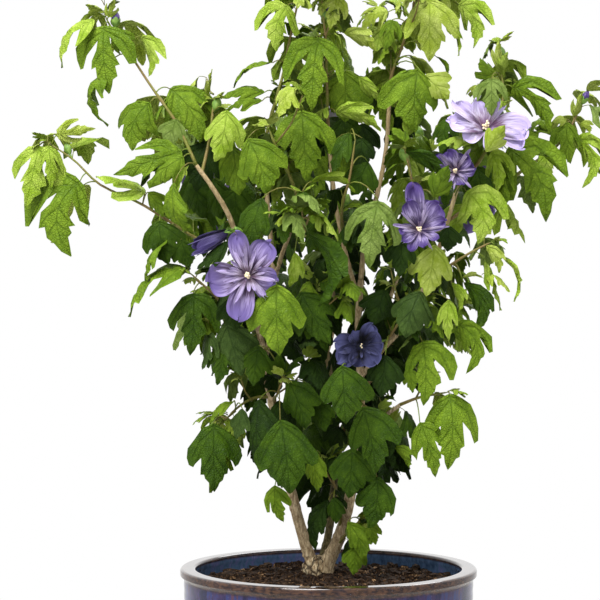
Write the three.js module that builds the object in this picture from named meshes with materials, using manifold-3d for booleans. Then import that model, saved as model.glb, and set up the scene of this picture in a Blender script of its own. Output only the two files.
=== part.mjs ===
// A hibiscus shrub with violet semi-double flowers in a glazed pot, in millimetres, +Z up.
// The origin is the middle of the pot's flat underside and the front faces -Y.
// The pot, its soil, the trunk, each stem, each bough and each mass of foliage is one solid.
import * as THREE from "three";
import { mergeVertices } from "three/addons/utils/BufferGeometryUtils.js";
import Module from "manifold-3d";

const wasm = await Module();
wasm.setup();

// Driving dimensions
const clearance = 0.36; // left between neighbouring solids
const goldenTurn = Math.PI * (3 - Math.sqrt(5)); // between one leaf and the next round a shoot
const up = new THREE.Vector3(0, 0, 1);

const pot = {
  height: 300,
  footRadius: 136,
  waistRadius: 168, // just under the rim
  rimRadius: 172,
  rimWidth: 18, // the flat rim, across
  rimDepth: 9, // the flat rim, from top to bottom
  rimRound: 3, // rounding of its edges
  wall: 12,
  floor: 15,
  footBevel: 3,
  sides: 40,
};
const soil = {
  belowRim: 20, // at the wall
  mound: 7, // how much higher the middle is
  plateau: 46, // radius of the level middle, which the trunk stands on
  gap: 0.4, // between soil and pot
};
const soilTop = pot.height - soil.belowRim + soil.mound;
const trunk = {
  x: -12,
  y: 15,
  rings: [[0, 20.5, 18], [5, 18, 15.8], [11, 17, 14], [19, 15.8, 12.2]], // height, half widths
  roots: 5,
  rootDepth: 0.09, // how far the roots stand out at the foot, as a share of its half width
  sides: 14,
};

// Leaf proportions, each a share of the blade's length unless a line says otherwise
const leafForm = {
  petiole: 0.22,
  untested: 0.35, // share of the way from foot to bend that may lie close to twigs
  plainBelow: 0.4, // a leaf cut less deeply than this has no middle lobe of its own
  footDepth: 1.5, // from top to bottom where it leaves the shoot, in millimetres
  thickness: 0.024,
  lobeAt: 0.46, // how far along the blade the side lobes end
  lobeReach: 0.44, // half the blade's width at the side lobes
  shoulderAt: [0.68, 0.56], // where the middle lobe starts, on an uncut leaf and a deeply cut one
  shoulderReach: [0.27, 0.15], // half the width there
  bendAt: 0.44, // where the blade bends along its midrib
  fold: 0.07, // how far the side lobes hang below the midrib
  steps: 12, // along the midrib when its curve is worked out
};
const limbStep = 50; // length of one straight stretch of a limb
const twigStep = 55;
const spaceMargin = 1.6; // a leaf keeps this far inside its mass's space
const limbMargin = 3.2; // and this far from every limb
const leafGap = 7; // and this far from the leaves of its own mass
const budsAbove = 770; // height over which a mass's own stem carries a bud near its tip
const tries = 24; // ways a leaf may be turned before it is skipped

// Stems and boughs: the limb each grows from and how far along it, the points it passes
// through, and its radius at its foot and its tip.
const limbs = [
  {
    name: "stem_left", from: null, radius: [7.6, 3.9], sides: 8,
    points: [[-16, 16, 294], [-28, 12, 329], [-43, 4, 386], [-60, -2, 464], [-71, 0, 518], [-77, 8, 557]],
  },
  {
    name: "stem_right", from: null, radius: [8.6, 3.3], sides: 8,
    points: [[-6, 12, 294], [11, 6, 329], [23, -2, 371], [32, -9, 430], [37, -12, 505], [34, -12, 574],
      [37, -14, 632]],
  },
  {
    name: "stem_back", from: null, radius: [5.4, 3.1], sides: 7,
    points: [[-10, 24, 294], [1, 40, 335], [9, 58, 407], [10, 72, 470], [-2, 98, 555]],
  },
  {
    name: "bough_left", from: ["stem_left", 1], radius: [3.5, 2.4], sides: 5,
    points: [[-92, -12, 621], [-109, -40, 692], [-128, -55, 730], [-150, -60, 761]],
  },
  {
    name: "bough_tall_left", from: ["stem_left", 0.9], radius: [3.2, 2.5], sides: 5,
    points: [[-66, 20, 580], [-64, 22, 640], [-70, 22, 710], [-76, 18, 784]],
  },
  {
    name: "bough_centre_left", from: ["bough_tall_left", 0.45], radius: [2.7, 2.2], sides: 5,
    points: [[-54, -8, 661], [-42, -28, 693], [-34, -36, 723]],
  },
  {
    name: "bough_tall_right", from: ["stem_right", 1], radius: [3, 2.4], sides: 5,
    points: [[43, -8, 684], [58, 2, 737], [67, 8, 784], [72, 8, 853]],
  },
  {
    name: "bough_mid_top", from: ["stem_right", 0.93], radius: [2.8, 2.2], sides: 5,
    points: [[20, -22, 660], [7, -24, 725], [-1, -20, 804]],
  },
  {
    name: "bough_right", from: ["stem_right", 0.7], radius: [3.2, 2.3], sides: 5,
    points: [[59, -22, 549], [81, -30, 575], [110, -34, 626], [133, -28, 689], [148, -22, 740]],
  },
  {
    name: "bough_low_right", from: ["stem_right", 0.48], radius: [2.6, 2], sides: 5,
    points: [[56, -28, 468], [81, -44, 490]],
  },
  {
    name: "bough_back_left", from: ["stem_back", 1], radius: [2.9, 2.3], sides: 5,
    points: [[-45, 120, 609], [-82, 130, 670]],
  },
  {
    name: "bough_back_mid", from: ["stem_back", 0.97], radius: [2.8, 2.2], sides: 5,
    points: [[8, 112, 580], [6, 116, 640], [4, 118, 707]],
  },
  {
    name: "bough_back_right", from: ["stem_back", 0.8], radius: [2.9, 2.3], sides: 5,
    points: [[45, 106, 555], [72, 120, 600], [90, 128, 646]],
  },
];

// Masses of foliage: the limb each grows from, the points its own stem passes through, its side
// twigs and their length, the blade length at its foot, how deeply its leaves are cut and how
// steeply they hang (0 to 1 and more), the turn of its first leaf, and its flowers.
const masses = [
  {
    name: "spray_far_left", from: ["bough_left", 0.42],
    path: [[-142, -34, 675], [-181, -40, 698], [-215, -44, 719], [-260, -46, 740], [-290, -46, 768],
      [-320, -44, 788]],
    bare: 55, twigs: 0, twigLength: 0, leaf: 105, cut: 0.9, hang: 1.5, turn: 0.28, spacing: 34,
    flowers: [],
  },
  {
    name: "spray_upper_left", from: ["bough_left", 1],
    path: [[-166, -56, 796], [-177, -52, 816], [-203, -46, 853], [-226, -42, 888], [-252, -38, 926],
      [-256, -38, 945]],
    bare: 20, twigs: 0, twigLength: 0, leaf: 110, cut: 0.9, hang: 1.8, turn: 0.39, spacing: 23,
    flowers: [],
  },
  {
    name: "mass_mid_left", from: ["bough_left", 0.82],
    path: [[-150, -86, 752], [-180, -96, 772], [-212, -98, 778]],
    bare: 20, twigs: 3, twigLength: 69, leaf: 84, cut: 0.6, hang: 1.4, turn: 0.39, spacing: 16,
    flowers: [
      { at: [-138, -102, 676], facing: [-0.95, -0.25, -0.2], across: 58, open: 0.22 },
    ],
  },
  {
    name: "mass_left_top", from: ["bough_left", 0.93],
    path: [[-136, -44, 792], [-132, -38, 830], [-131, -30, 866]],
    bare: 14, twigs: 3, twigLength: 48, leaf: 82, cut: 0.45, hang: 2.4, turn: 1.57, spacing: 15,
    flowers: [],
  },
  {
    name: "spray_tall_left", from: ["bough_tall_left", 1],
    path: [[-68, 16, 819], [-53, 10, 871], [-45, 6, 911], [-35, 2, 957], [-29, 0, 992]],
    bare: 34, twigs: 0, twigLength: 0, leaf: 92, cut: 0.9, hang: 1.6, turn: 5.61, spacing: 17,
    flowers: [],
  },
  {
    name: "mass_centre_left", from: ["bough_centre_left", 1],
    path: [[-46, -58, 752], [-62, -72, 786], [-76, -74, 822]],
    bare: 10, twigs: 4, twigLength: 60, leaf: 90, cut: 0.35, hang: 2.3, turn: 4.71, spacing: 16,
    flowers: [],
  },
  {
    name: "mass_mid_top", from: ["bough_mid_top", 1],
    path: [[-2, -28, 850], [-4, -34, 906], [-8, -34, 952]],
    bare: 8, twigs: 2, twigLength: 48, leaf: 88, cut: 0.8, hang: 2.3, turn: 5.89, spacing: 15,
    flowers: [
      { at: [-10, -42, 976], facing: [0.1, -0.55, 0.83], across: 78, open: 0.75 },
    ],
  },
  {
    name: "mass_tall_right", from: ["bough_tall_right", 1],
    path: [[74, 4, 872], [88, 0, 911], [97, -4, 944], [107, -6, 984]],
    bare: 6, twigs: 3, twigLength: 78, leaf: 88, cut: 0.6, hang: 1.9, turn: 0.93, spacing: 21,
    flowers: [],
  },
  {
    name: "mass_right_top", from: ["bough_right", 1],
    path: [[178, -34, 777], [195, -36, 826], [199, -34, 849], [194, -30, 900]],
    bare: 14, twigs: 2, twigLength: 50, leaf: 78, cut: 0.7, hang: 2.3, turn: 0.39, spacing: 17,
    flowers: [
      { at: [184, -88, 812], facing: [0.1, -0.8, 0.55], across: 92, open: 0.85 },
      { at: [142, -78, 758], facing: [-0.1, -0.95, 0.1], across: 66, open: 0.6 },
    ],
  },
  {
    name: "spray_far_right", from: ["bough_right", 0.84],
    path: [[180, 0, 728], [235, 10, 766], [270, 12, 792], [288, 12, 821], [296, 10, 846]],
    bare: 26, twigs: 1, twigLength: 36, leaf: 80, cut: 0.85, hang: 1.5, turn: 5.11, spacing: 25,
    flowers: [],
  },
  {
    name: "mass_right_mid", from: ["bough_right", 0.6],
    path: [[132, -62, 645], [158, -70, 662], [186, -72, 676]],
    bare: 12, twigs: 2, twigLength: 52, leaf: 84, cut: 0.75, hang: 2.3, turn: 0, spacing: 15,
    flowers: [],
  },
  {
    name: "mass_right_inner", from: ["bough_right", 0.8],
    path: [[112, -56, 690], [96, -76, 730], [84, -84, 776]],
    bare: 12, twigs: 3, twigLength: 52, leaf: 86, cut: 0.5, hang: 1.9, turn: 0.65, spacing: 16,
    flowers: [
      { at: [104, -118, 702], facing: [-0.1, -0.98, 0.1], across: 80, open: 0.5 },
    ],
  },
  {
    name: "mass_centre", from: ["bough_mid_top", 0.4],
    path: [[14, -66, 712], [22, -92, 744], [28, -104, 786]],
    bare: 12, twigs: 3, twigLength: 45, leaf: 86, cut: 0.5, hang: 2, turn: 0.79, spacing: 16,
    flowers: [],
  },
  {
    name: "mass_centre_inner", from: ["bough_centre_left", 0.62],
    path: [[-36, -52, 690], [-26, -84, 694], [-22, -106, 708]],
    bare: 12, twigs: 3, twigLength: 58, leaf: 84, cut: 0.5, hang: 1.6, turn: 1.43, spacing: 15,
    flowers: [],
  },
  {
    name: "mass_low_right", from: ["bough_low_right", 1],
    path: [[103, -56, 499], [134, -60, 505]],
    bare: 8, twigs: 2, twigLength: 43, leaf: 92, cut: 0.45, hang: 1.7, turn: 2.36, spacing: 12,
    flowers: [],
  },
  {
    name: "mass_right_low_inner", from: ["stem_right", 0.62],
    path: [[58, -34, 545], [78, -56, 582], [98, -66, 606]],
    bare: 14, twigs: 3, twigLength: 46, leaf: 92, cut: 0.4, hang: 2.1, turn: 4.46, spacing: 16,
    flowers: [
      { at: [36, -92, 560], facing: [0.05, -0.99, 0.1], across: 62, open: 0.4 },
    ],
  },
  {
    name: "mass_foot_right", from: ["stem_right", 0.36],
    path: [[44, -26, 440], [54, -44, 466], [58, -58, 494]],
    bare: 8, twigs: 4, twigLength: 40, leaf: 88, cut: 0.3, hang: 3, turn: 5.89, spacing: 14,
    flowers: [],
  },
  {
    name: "mass_foot_left", from: ["stem_left", 0.62],
    path: [[-62, -32, 494], [-58, -52, 504], [-52, -64, 520]],
    bare: 8, twigs: 3, twigLength: 53, leaf: 103, cut: 0.25, hang: 2, turn: 0.28, spacing: 15,
    flowers: [],
  },
  {
    name: "mass_low_left", from: ["stem_left", 0.72],
    path: [[-86, -14, 496], [-104, -24, 486], [-120, -30, 470]],
    bare: 16, twigs: 2, twigLength: 40, leaf: 92, cut: 0.5, hang: 2.8, turn: 3.53, spacing: 13,
    flowers: [],
  },
  {
    name: "mass_left_mid", from: ["bough_left", 0.12],
    path: [[-112, -24, 596], [-134, -44, 618], [-158, -52, 640]],
    bare: 10, twigs: 3, twigLength: 45, leaf: 88, cut: 0.55, hang: 2.4, turn: 0.65, spacing: 15,
    flowers: [],
  },
  {
    name: "mass_flower_left", from: ["bough_left", 0.32],
    path: [[-94, -62, 640], [-88, -84, 658]],
    bare: 8, twigs: 2, twigLength: 32, leaf: 84, cut: 0.4, hang: 2.1, turn: 0.67, spacing: 14,
    flowers: [
      { at: [-96, -122, 636], facing: [-0.12, -0.99, 0.05], across: 92, open: 1 },
    ],
  },
  {
    name: "mass_centre_low", from: ["stem_left", 0.96],
    path: [[-50, -36, 572], [-30, -62, 592], [-14, -76, 622]],
    bare: 12, twigs: 3, twigLength: 63, leaf: 101, cut: 0.35, hang: 2.3, turn: 0.25, spacing: 15,
    flowers: [],
  },
  {
    name: "spray_foot", from: ["stem_right", 0.2],
    path: [[14, -14, 372], [6, -22, 398], [2, -28, 426]],
    bare: 8, twigs: 0, twigLength: 0, leaf: 46, cut: 0.3, hang: 1.6, turn: 3.93, spacing: 15,
    flowers: [],
  },
  {
    name: "spray_sucker", from: ["stem_right", 0.12],
    path: [[26, -14, 346], [38, -24, 356]],
    bare: 14, twigs: 0, twigLength: 0, leaf: 56, cut: 0.3, hang: 3, turn: 5.39, spacing: 11,
    flowers: [],
  },
  {
    name: "mass_foot_back", from: ["stem_back", 0.5],
    path: [[20, 94, 452], [24, 116, 478], [14, 134, 508]],
    bare: 8, twigs: 3, twigLength: 35, leaf: 96, cut: 0.3, hang: 2, turn: 1.57, spacing: 29,
    flowers: [],
  },
  {
    name: "mass_back_left_low", from: ["bough_back_left", 0.4],
    path: [[-64, 112, 580], [-104, 108, 590], [-138, 96, 612]],
    bare: 12, twigs: 3, twigLength: 56, leaf: 88, cut: 0.5, hang: 2.1, turn: 0, spacing: 29,
    flowers: [],
  },
  {
    name: "mass_back_left", from: ["bough_back_left", 1],
    path: [[-112, 138, 716], [-146, 140, 764], [-178, 132, 812]],
    bare: 10, twigs: 4, twigLength: 80, leaf: 99, cut: 0.6, hang: 2.3, turn: 4.43, spacing: 33,
    flowers: [
      { at: [-150, 186, 742], facing: [-0.5, 0.85, 0.15], across: 86, open: 0.9 },
    ],
  },
  {
    name: "mass_back_low", from: ["bough_back_mid", 0.5],
    path: [[10, 150, 640], [14, 182, 668], [10, 206, 706]],
    bare: 12, twigs: 3, twigLength: 73, leaf: 88, cut: 0.45, hang: 2.1, turn: 2.36, spacing: 23,
    flowers: [],
  },
  {
    name: "mass_back_top", from: ["bough_back_mid", 1],
    path: [[6, 124, 760], [2, 126, 818], [-4, 120, 880], [-2, 116, 930]],
    bare: 12, twigs: 4, twigLength: 62, leaf: 86, cut: 0.7, hang: 2.3, turn: 1.57, spacing: 33,
    flowers: [
      { at: [10, 176, 806], facing: [0.2, 0.93, 0.3], across: 82, open: 0.8 },
    ],
  },
  {
    name: "mass_back_right", from: ["bough_back_right", 1],
    path: [[122, 138, 700], [146, 138, 762], [168, 128, 824]],
    bare: 12, twigs: 4, twigLength: 80, leaf: 99, cut: 0.6, hang: 2.3, turn: 2.64, spacing: 35,
    flowers: [
      { at: [176, 168, 742], facing: [0.65, 0.75, 0.1], across: 84, open: 0.9 },
    ],
  },
  {
    name: "mass_back_right_low", from: ["bough_back_right", 0.42],
    path: [[84, 96, 556], [122, 96, 572], [154, 84, 600]],
    bare: 16, twigs: 3, twigLength: 54, leaf: 88, cut: 0.5, hang: 2.1, turn: 4.32, spacing: 29,
    flowers: [],
  },
];

const colours = {
  glaze: { color: 0x2b3350, roughness: 0.15, metalness: 0 },
  soil: { color: 0x2e2018, roughness: 0.95, metalness: 0 },
  bark: { color: 0xa08c68, roughness: 0.85, metalness: 0 },
  foliage: { color: 0x4c7a1f, roughness: 0.6, metalness: 0 },
};

// The same number from 0 to 1 each time for the same key.
function chance(key) {
  const wave = Math.sin(key * 12.9898 + 4.1414) * 43758.5453;
  return wave - Math.floor(wave);
}

function vector(list) {
  return new THREE.Vector3(...list);
}

// Two directions square to the given one and to each other.
function across(direction) {
  const reference = vector([0.31, -0.45, 0.84]);
  const first = direction.clone().cross(reference).normalize();
  return [first, direction.clone().cross(first).normalize()];
}

// A closed solid from points and faces.
function solidFrom(points, faces) {
  const geometry = new THREE.BufferGeometry();
  const places = points.flatMap((point) => point.toArray());
  geometry.setAttribute("position", new THREE.Float32BufferAttribute(places, 3));
  geometry.setIndex(faces.flat());
  return solidOf(geometry);
}

function solidOf(source) {
  const geometry = source.clone();
  geometry.deleteAttribute("normal");
  geometry.deleteAttribute("uv");
  const merged = mergeVertices(geometry, 1e-4);
  const kept = [];
  const index = merged.index.array;
  for (let i = 0; i < index.length; i += 3) {
    const [a, b, c] = index.slice(i, i + 3);
    if (a !== b && b !== c && c !== a) kept.push(a, b, c);
  }
  return new wasm.Manifold(new wasm.Mesh({
    numProp: 3,
    vertProperties: new Float32Array(merged.attributes.position.array),
    triVerts: new Uint32Array(kept),
  }));
}

function geometryOf(solid) {
  const mesh = solid.getMesh();
  const geometry = new THREE.BufferGeometry();
  geometry.setAttribute("position", new THREE.Float32BufferAttribute(mesh.vertProperties, 3));
  geometry.setIndex(Array.from(mesh.triVerts));
  return geometry;
}

// The largest piece of a fused solid, without loose scraps.
function wholeOf(solid) {
  return solid.decompose().reduce((best, piece) => (piece.volume() > best.volume() ? piece : best));
}

// A course through the points: straight stretches of about one step between places on a smooth curve.
function courseThrough(points, step) {
  const curve = new THREE.CatmullRomCurve3(points, false, "catmullrom", 0.5);
  const count = Math.max(2, Math.round(curve.getLength() / step));
  const places = Array.from({ length: count + 1 }, (_, i) => curve.getPoint(i / count));
  return { curve, places, count, length: curve.getLength() };
}

function placeOn(course, t) {
  const below = Math.min(Math.floor(t * course.count), course.count - 1);
  return course.places[below].clone().lerp(course.places[below + 1], t * course.count - below);
}

// A tapering limb along a course, with flat ends.
function taperedTube(course, radii, sides, extra = 0) {
  const { curve, count } = course;
  const points = [];
  const faces = [];
  let side = null;
  for (let i = 0; i <= count; i++) {
    const t = i / count;
    const centre = course.places[i].clone();
    const along = curve.getTangent(t);
    if (i === 0) centre.addScaledVector(along, -extra);
    if (i === count) centre.addScaledVector(along, extra);
    side = side ? side.addScaledVector(along, -side.dot(along)).normalize() : across(along)[0];
    const other = along.clone().cross(side);
    const radius = THREE.MathUtils.lerp(radii[0], radii[1], Math.pow(t, 0.8)) + extra;
    for (let k = 0; k < sides; k++) {
      const angle = (2 * Math.PI * k) / sides;
      points.push(centre.clone().addScaledVector(side, radius * Math.cos(angle))
        .addScaledVector(other, radius * Math.sin(angle)));
    }
  }
  for (let i = 0; i < count; i++) {
    for (let k = 0; k < sides; k++) {
      const a = i * sides + k;
      const b = i * sides + ((k + 1) % sides);
      faces.push([a, b, b + sides], [a, b + sides, a + sides]);
    }
  }
  const last = count * sides;
  for (let k = 1; k < sides - 1; k++) {
    faces.push([0, k + 1, k], [last, last + k, last + k + 1]);
  }
  return solidFrom(points, faces);
}

// The pot: a slightly tapering wall under a flat rim with rounded edges, turned on a lathe.
function potProfile() {
  const profile = [new THREE.Vector2(0, 0), new THREE.Vector2(pot.footRadius - pot.footBevel, 0)];
  const rimFoot = pot.height - pot.rimDepth;
  profile.push(new THREE.Vector2(pot.footRadius, pot.footBevel));
  for (const share of [0.5, 1]) {
    const bulge = Math.sin((share * Math.PI) / 2);
    profile.push(new THREE.Vector2(THREE.MathUtils.lerp(pot.footRadius, pot.waistRadius, bulge),
      share * (rimFoot - 4)));
  }
  const outside = pot.rimRadius;
  const inside = pot.rimRadius - pot.rimWidth;
  const round = pot.rimRound;
  for (const [radius, z] of [
    [outside - round / 3, rimFoot],
    [outside, rimFoot + round],
    [outside, pot.height - round],
    [outside - 0.3 * round, pot.height - 0.3 * round],
    [outside - round, pot.height],
    [inside + round, pot.height],
    [inside + 0.3 * round, pot.height - 0.3 * round],
    [inside, pot.height - round],
    [inside, rimFoot],
  ]) profile.push(new THREE.Vector2(radius, z));
  profile.push(new THREE.Vector2(pot.waistRadius - pot.wall, rimFoot - 4));
  profile.push(new THREE.Vector2(pot.footRadius - pot.wall, pot.floor + 6));
  profile.push(new THREE.Vector2(pot.footRadius - pot.wall - 8, pot.floor));
  profile.push(new THREE.Vector2(0, pot.floor));
  return profile;
}

function lathe(profile, sides) {
  return solidOf(new THREE.LatheGeometry(profile, sides).rotateX(Math.PI / 2));
}

// The soil fills the pot to just under the rim and rises to a level middle.
function soilSolid() {
  const edge = soilTop - soil.mound;
  const { gap } = soil;
  const wallFoot = pot.footRadius - pot.wall;
  const wallTop = pot.waistRadius - pot.wall;
  const rise = (edge - pot.floor - 6) / (pot.height - pot.rimDepth - 4 - pot.floor - 6);
  return lathe([
    new THREE.Vector2(0, pot.floor + gap),
    new THREE.Vector2(wallFoot - 8 - gap, pot.floor + gap),
    new THREE.Vector2(wallFoot - gap, pot.floor + 6 + gap),
    new THREE.Vector2(THREE.MathUtils.lerp(wallFoot, wallTop, rise) - gap, edge),
    new THREE.Vector2(soil.plateau, soilTop),
    new THREE.Vector2(0, soilTop),
  ], pot.sides);
}

// The knobbly foot that all three stems rise from, flaring to the soil, grown by extra all round.
function trunkSolid(extra = 0) {
  const { x, y, rings, roots, rootDepth, sides } = trunk;
  const points = [];
  const faces = [];
  const top = rings[rings.length - 1][0];
  rings.forEach(([height, halfX, halfY], ring) => {
    const z = soilTop + clearance + height + (height === 0 ? -extra : 0) + (height === top ? extra : 0);
    for (let k = 0; k < sides; k++) {
      const angle = (2 * Math.PI * k) / sides;
      const root = 1 + rootDepth * (1 - height / (1.25 * top)) * Math.sin(roots * angle + 0.7);
      points.push(vector([x + (halfX * root + extra) * Math.cos(angle),
        y + (halfY * root + extra) * Math.sin(angle), z]));
      if (ring > 0) {
        const a = (ring - 1) * sides + k;
        const b = (ring - 1) * sides + ((k + 1) % sides);
        faces.push([a, b, b + sides], [a, b + sides, a + sides]);
      }
    }
  });
  const last = (rings.length - 1) * sides;
  for (let k = 1; k < sides - 1; k++) faces.push([0, k + 1, k], [last, last + k, last + k + 1]);
  return solidFrom(points, faces);
}

const limbCourses = {};
for (const limb of limbs) {
  const points = limb.points.map(vector);
  if (limb.from) points.unshift(placeOn(limbCourses[limb.from[0]], limb.from[1]));
  limbCourses[limb.name] = courseThrough(points, limbStep);
}

// Straight stretches of every limb, for the test that a leaf touches none.
const limbStretches = [];
for (const limb of limbs) {
  const count = 10;
  for (let i = 0; i < count; i++) {
    limbStretches.push({
      line: new THREE.Line3(placeOn(limbCourses[limb.name], i / count),
        placeOn(limbCourses[limb.name], (i + 1) / count)),
      radius: THREE.MathUtils.lerp(limb.radius[0], limb.radius[1], Math.pow((i + 0.5) / count, 0.8)),
    });
  }
}

for (const mass of masses) {
  const start = placeOn(limbCourses[mass.from[0]], mass.from[1]);
  mass.course = courseThrough([start, ...mass.path.map(vector)], twigStep);
  mass.axis = [];
  mass.samples = [];
  mass.twigLines = [];
  for (let i = 0; i < mass.course.count; i++) {
    mass.axis.push(new THREE.Line3(mass.course.places[i], mass.course.places[i + 1]));
  }
}

const nearest = new THREE.Vector3();
function distanceTo(line, point) {
  return line.closestPointToPoint(point, true, nearest).distanceTo(point);
}

// A mass's space is all that lies nearer to its own stem than to any other mass's stem.
function inOwnSpace(mass, points, margin) {
  return points.every((point) => {
    const own = Math.min(...mass.axis.map((line) => distanceTo(line, point)));
    return masses.every((other) => other === mass
      || other.axis.every((line) => distanceTo(line, point) > own + 2 * margin));
  });
}

function touchesLimb(points, margin) {
  return points.some((point) => point.z < soilTop + 3
    || limbStretches.some((stretch) => distanceTo(stretch.line, point) < stretch.radius + margin));
}

// A flower keeps its petals and the air in front of it free of leaves.
function hidesFlower(points) {
  return masses.some((mass) => mass.flowers.some((flower) => points.some((point) => {
    const offset = point.clone().sub(vector(flower.at)).divideScalar(flower.across);
    const facing = vector(flower.facing).normalize();
    const depth = offset.dot(facing);
    const sideways = offset.addScaledVector(facing, -depth).length();
    return (Math.abs(depth) < 0.2 && sideways < 0.58) || (depth > 0 && depth < 0.9 && sideways < 0.3);
  })));
}

// A leaf's frame: points along the midrib of its blade, which starts at the end of the petiole
// and turns towards the ground as it goes, with the directions across and square to the blade.
function midrib(leaf) {
  const stations = [];
  const { steps } = leafForm;
  const petiole = leaf.length * leafForm.petiole;
  const place = leaf.foot.clone();
  const level = leaf.aim.clone().cross(up);
  if (level.length() < 0.2) level.copy(across(leaf.aim)[0]);
  level.normalize();
  place.addScaledVector(leaf.aim, petiole);
  for (let i = 0; i <= steps; i++) {
    const s = i / steps;
    const along = leaf.aim.clone().addScaledVector(up, -leaf.hang * (0.12 + 1.25 * s)).normalize();
    if (i > 0) place.addScaledVector(along, leaf.length / steps);
    const wide = level.clone().applyAxisAngle(along, leaf.roll);
    wide.addScaledVector(along, -wide.dot(along)).normalize();
    stations.push({ place: place.clone(), wide, out: wide.clone().cross(along).normalize() });
  }
  return stations;
}

// The corners of a blade: three lobes, with the side lobes hanging a little below the midrib.
function leafPoints(leaf) {
  const form = leafForm;
  const stations = midrib(leaf);
  const at = (share, sideways, lift) => {
    const below = Math.min(Math.floor(share * form.steps), form.steps - 1);
    const station = stations[below];
    const place = station.place.clone().lerp(stations[below + 1].place, share * form.steps - below);
    return place.addScaledVector(station.wide, sideways * leaf.length)
      .addScaledVector(station.out, lift * leaf.length);
  };
  const shoulderAt = THREE.MathUtils.lerp(...form.shoulderAt, leaf.cut);
  const shoulder = THREE.MathUtils.lerp(...form.shoulderReach, leaf.cut);
  const half = form.thickness / 2;
  const root = stations[0].out.clone().multiplyScalar(form.footDepth / 2);
  const edge = [at(form.lobeAt, -form.lobeReach, -form.fold), at(1, 0, 0),
    at(form.lobeAt, form.lobeReach, -form.fold)];
  if (leaf.cut >= form.plainBelow) {
    edge.splice(2, 0, at(shoulderAt, shoulder, -form.fold * 0.4));
    edge.splice(1, 0, at(shoulderAt, -shoulder, -form.fold * 0.4));
  }
  return [leaf.foot.clone().add(root), leaf.foot.clone().sub(root), at(form.bendAt, 0, half),
    at(form.bendAt, 0, -half), ...edge];
}

// Faces between the foot (0 above, 1 below), the bend (2 above, 3 below) and the points of the
// edge, one after another from 4 on. The first faces are the leaf's upper side.
function leafFaces(points) {
  const last = points.length - 1;
  const faces = [[0, last, 2], [4, 0, 2]];
  for (let i = 4; i < last; i++) faces.push([i + 1, i, 2]);
  for (let i = 4; i < last; i++) faces.push([i, i + 1, 3]);
  return [...faces, [last, 1, 3], [1, 4, 3], [0, 1, last], [0, 4, 1]];
}

function leafSolid(leaf) {
  const points = leafPoints(leaf);
  return solidFrom(points, leafFaces(points));
}

// Points spread over a blade, close enough together to find any limb that it would touch. Its
// foot isn't tested, since that starts inside a shoot.
function leafSamples(points) {
  const samples = points.slice(2);
  const footLength = leafForm.untested * points[0].distanceTo(points[2]);
  const shares = [0.25, 0.5, 0.75];
  for (const [a, b, c] of leafFaces(points).slice(0, points.length - 3)) {
    for (const p of shares) {
      for (const q of shares.filter((share) => share + p <= 1)) {
        const sample = points[a].clone().multiplyScalar(1 - p - q).addScaledVector(points[b], p)
          .addScaledVector(points[c], q);
        if (sample.distanceTo(points[0]) > footLength) samples.push(sample);
      }
    }
  }
  return samples;
}

// Turns a leaf a little further and shortens it at each try, until it keeps to its mass's space,
// touches nothing and stands off the leaves placed before it.
function placeLeaf(mass, leaf, radial, along) {
  for (let attempt = 0; attempt < tries; attempt++) {
    const swing = Math.ceil(attempt / 2) * 0.52 * (attempt % 2 ? 1 : -1);
    const aim = radial.clone().applyAxisAngle(along, swing).multiplyScalar(0.85)
      .addScaledVector(along, 0.42).addScaledVector(up, 0.12).normalize();
    const turned = { ...leaf, aim, hang: leaf.hang * (1 + 0.1 * (attempt % 5)),
      length: leaf.length * (1 - 0.022 * attempt) };
    const samples = leafSamples(leafPoints(turned));
    if (!inOwnSpace(mass, samples, spaceMargin) || touchesLimb(samples, limbMargin)) continue;
    if (hidesFlower(samples) || meetsTwig(mass, samples) || meetsLeaf(mass, samples)) continue;
    mass.samples.push(samples);
    return turned;
  }
  return null;
}

function meetsTwig(mass, samples) {
  return mass.twigLines.some((line) => samples.some((point) => distanceTo(line, point) < leafGap));
}

function meetsLeaf(mass, samples) {
  const gap = leafGap * leafGap;
  return mass.samples.some((others) => samples.some((point) => others.some(
    (other) => point.distanceToSquared(other) < gap)));
}

// Leaves spaced along a shoot, each turned on from the last and smaller towards the tip.
function leavesAlong(mass, shoot, key) {
  const leaves = [];
  const { length } = shoot.course;
  const count = Math.max(1, Math.floor((length - shoot.bare) / mass.spacing));
  for (let i = 0; i <= count; i++) {
    const t = THREE.MathUtils.lerp(shoot.bare / length, 1, i / count);
    const along = shoot.course.curve.getTangent(t);
    const [first, second] = across(along);
    const angle = mass.turn + key + i * goldenTurn + 0.5 * (chance(key * 31 + i) - 0.5);
    const radial = first.multiplyScalar(Math.cos(angle)).addScaledVector(second, Math.sin(angle));
    const age = 1 - 0.42 * Math.pow(i / count, 1.6);
    const leaf = placeLeaf(mass, {
      foot: placeOn(shoot.course, t),
      length: mass.leaf * age * (0.86 + 0.3 * chance(key * 17 + i + 0.5)),
      hang: mass.hang * (0.75 + 0.6 * chance(key * 7 + i + 0.25)),
      roll: 0.9 * (chance(key * 5 + i + 0.75) - 0.5),
      cut: mass.cut,
    }, radial, along);
    if (leaf) leaves.push(leaf);
  }
  return leaves;
}

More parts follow.
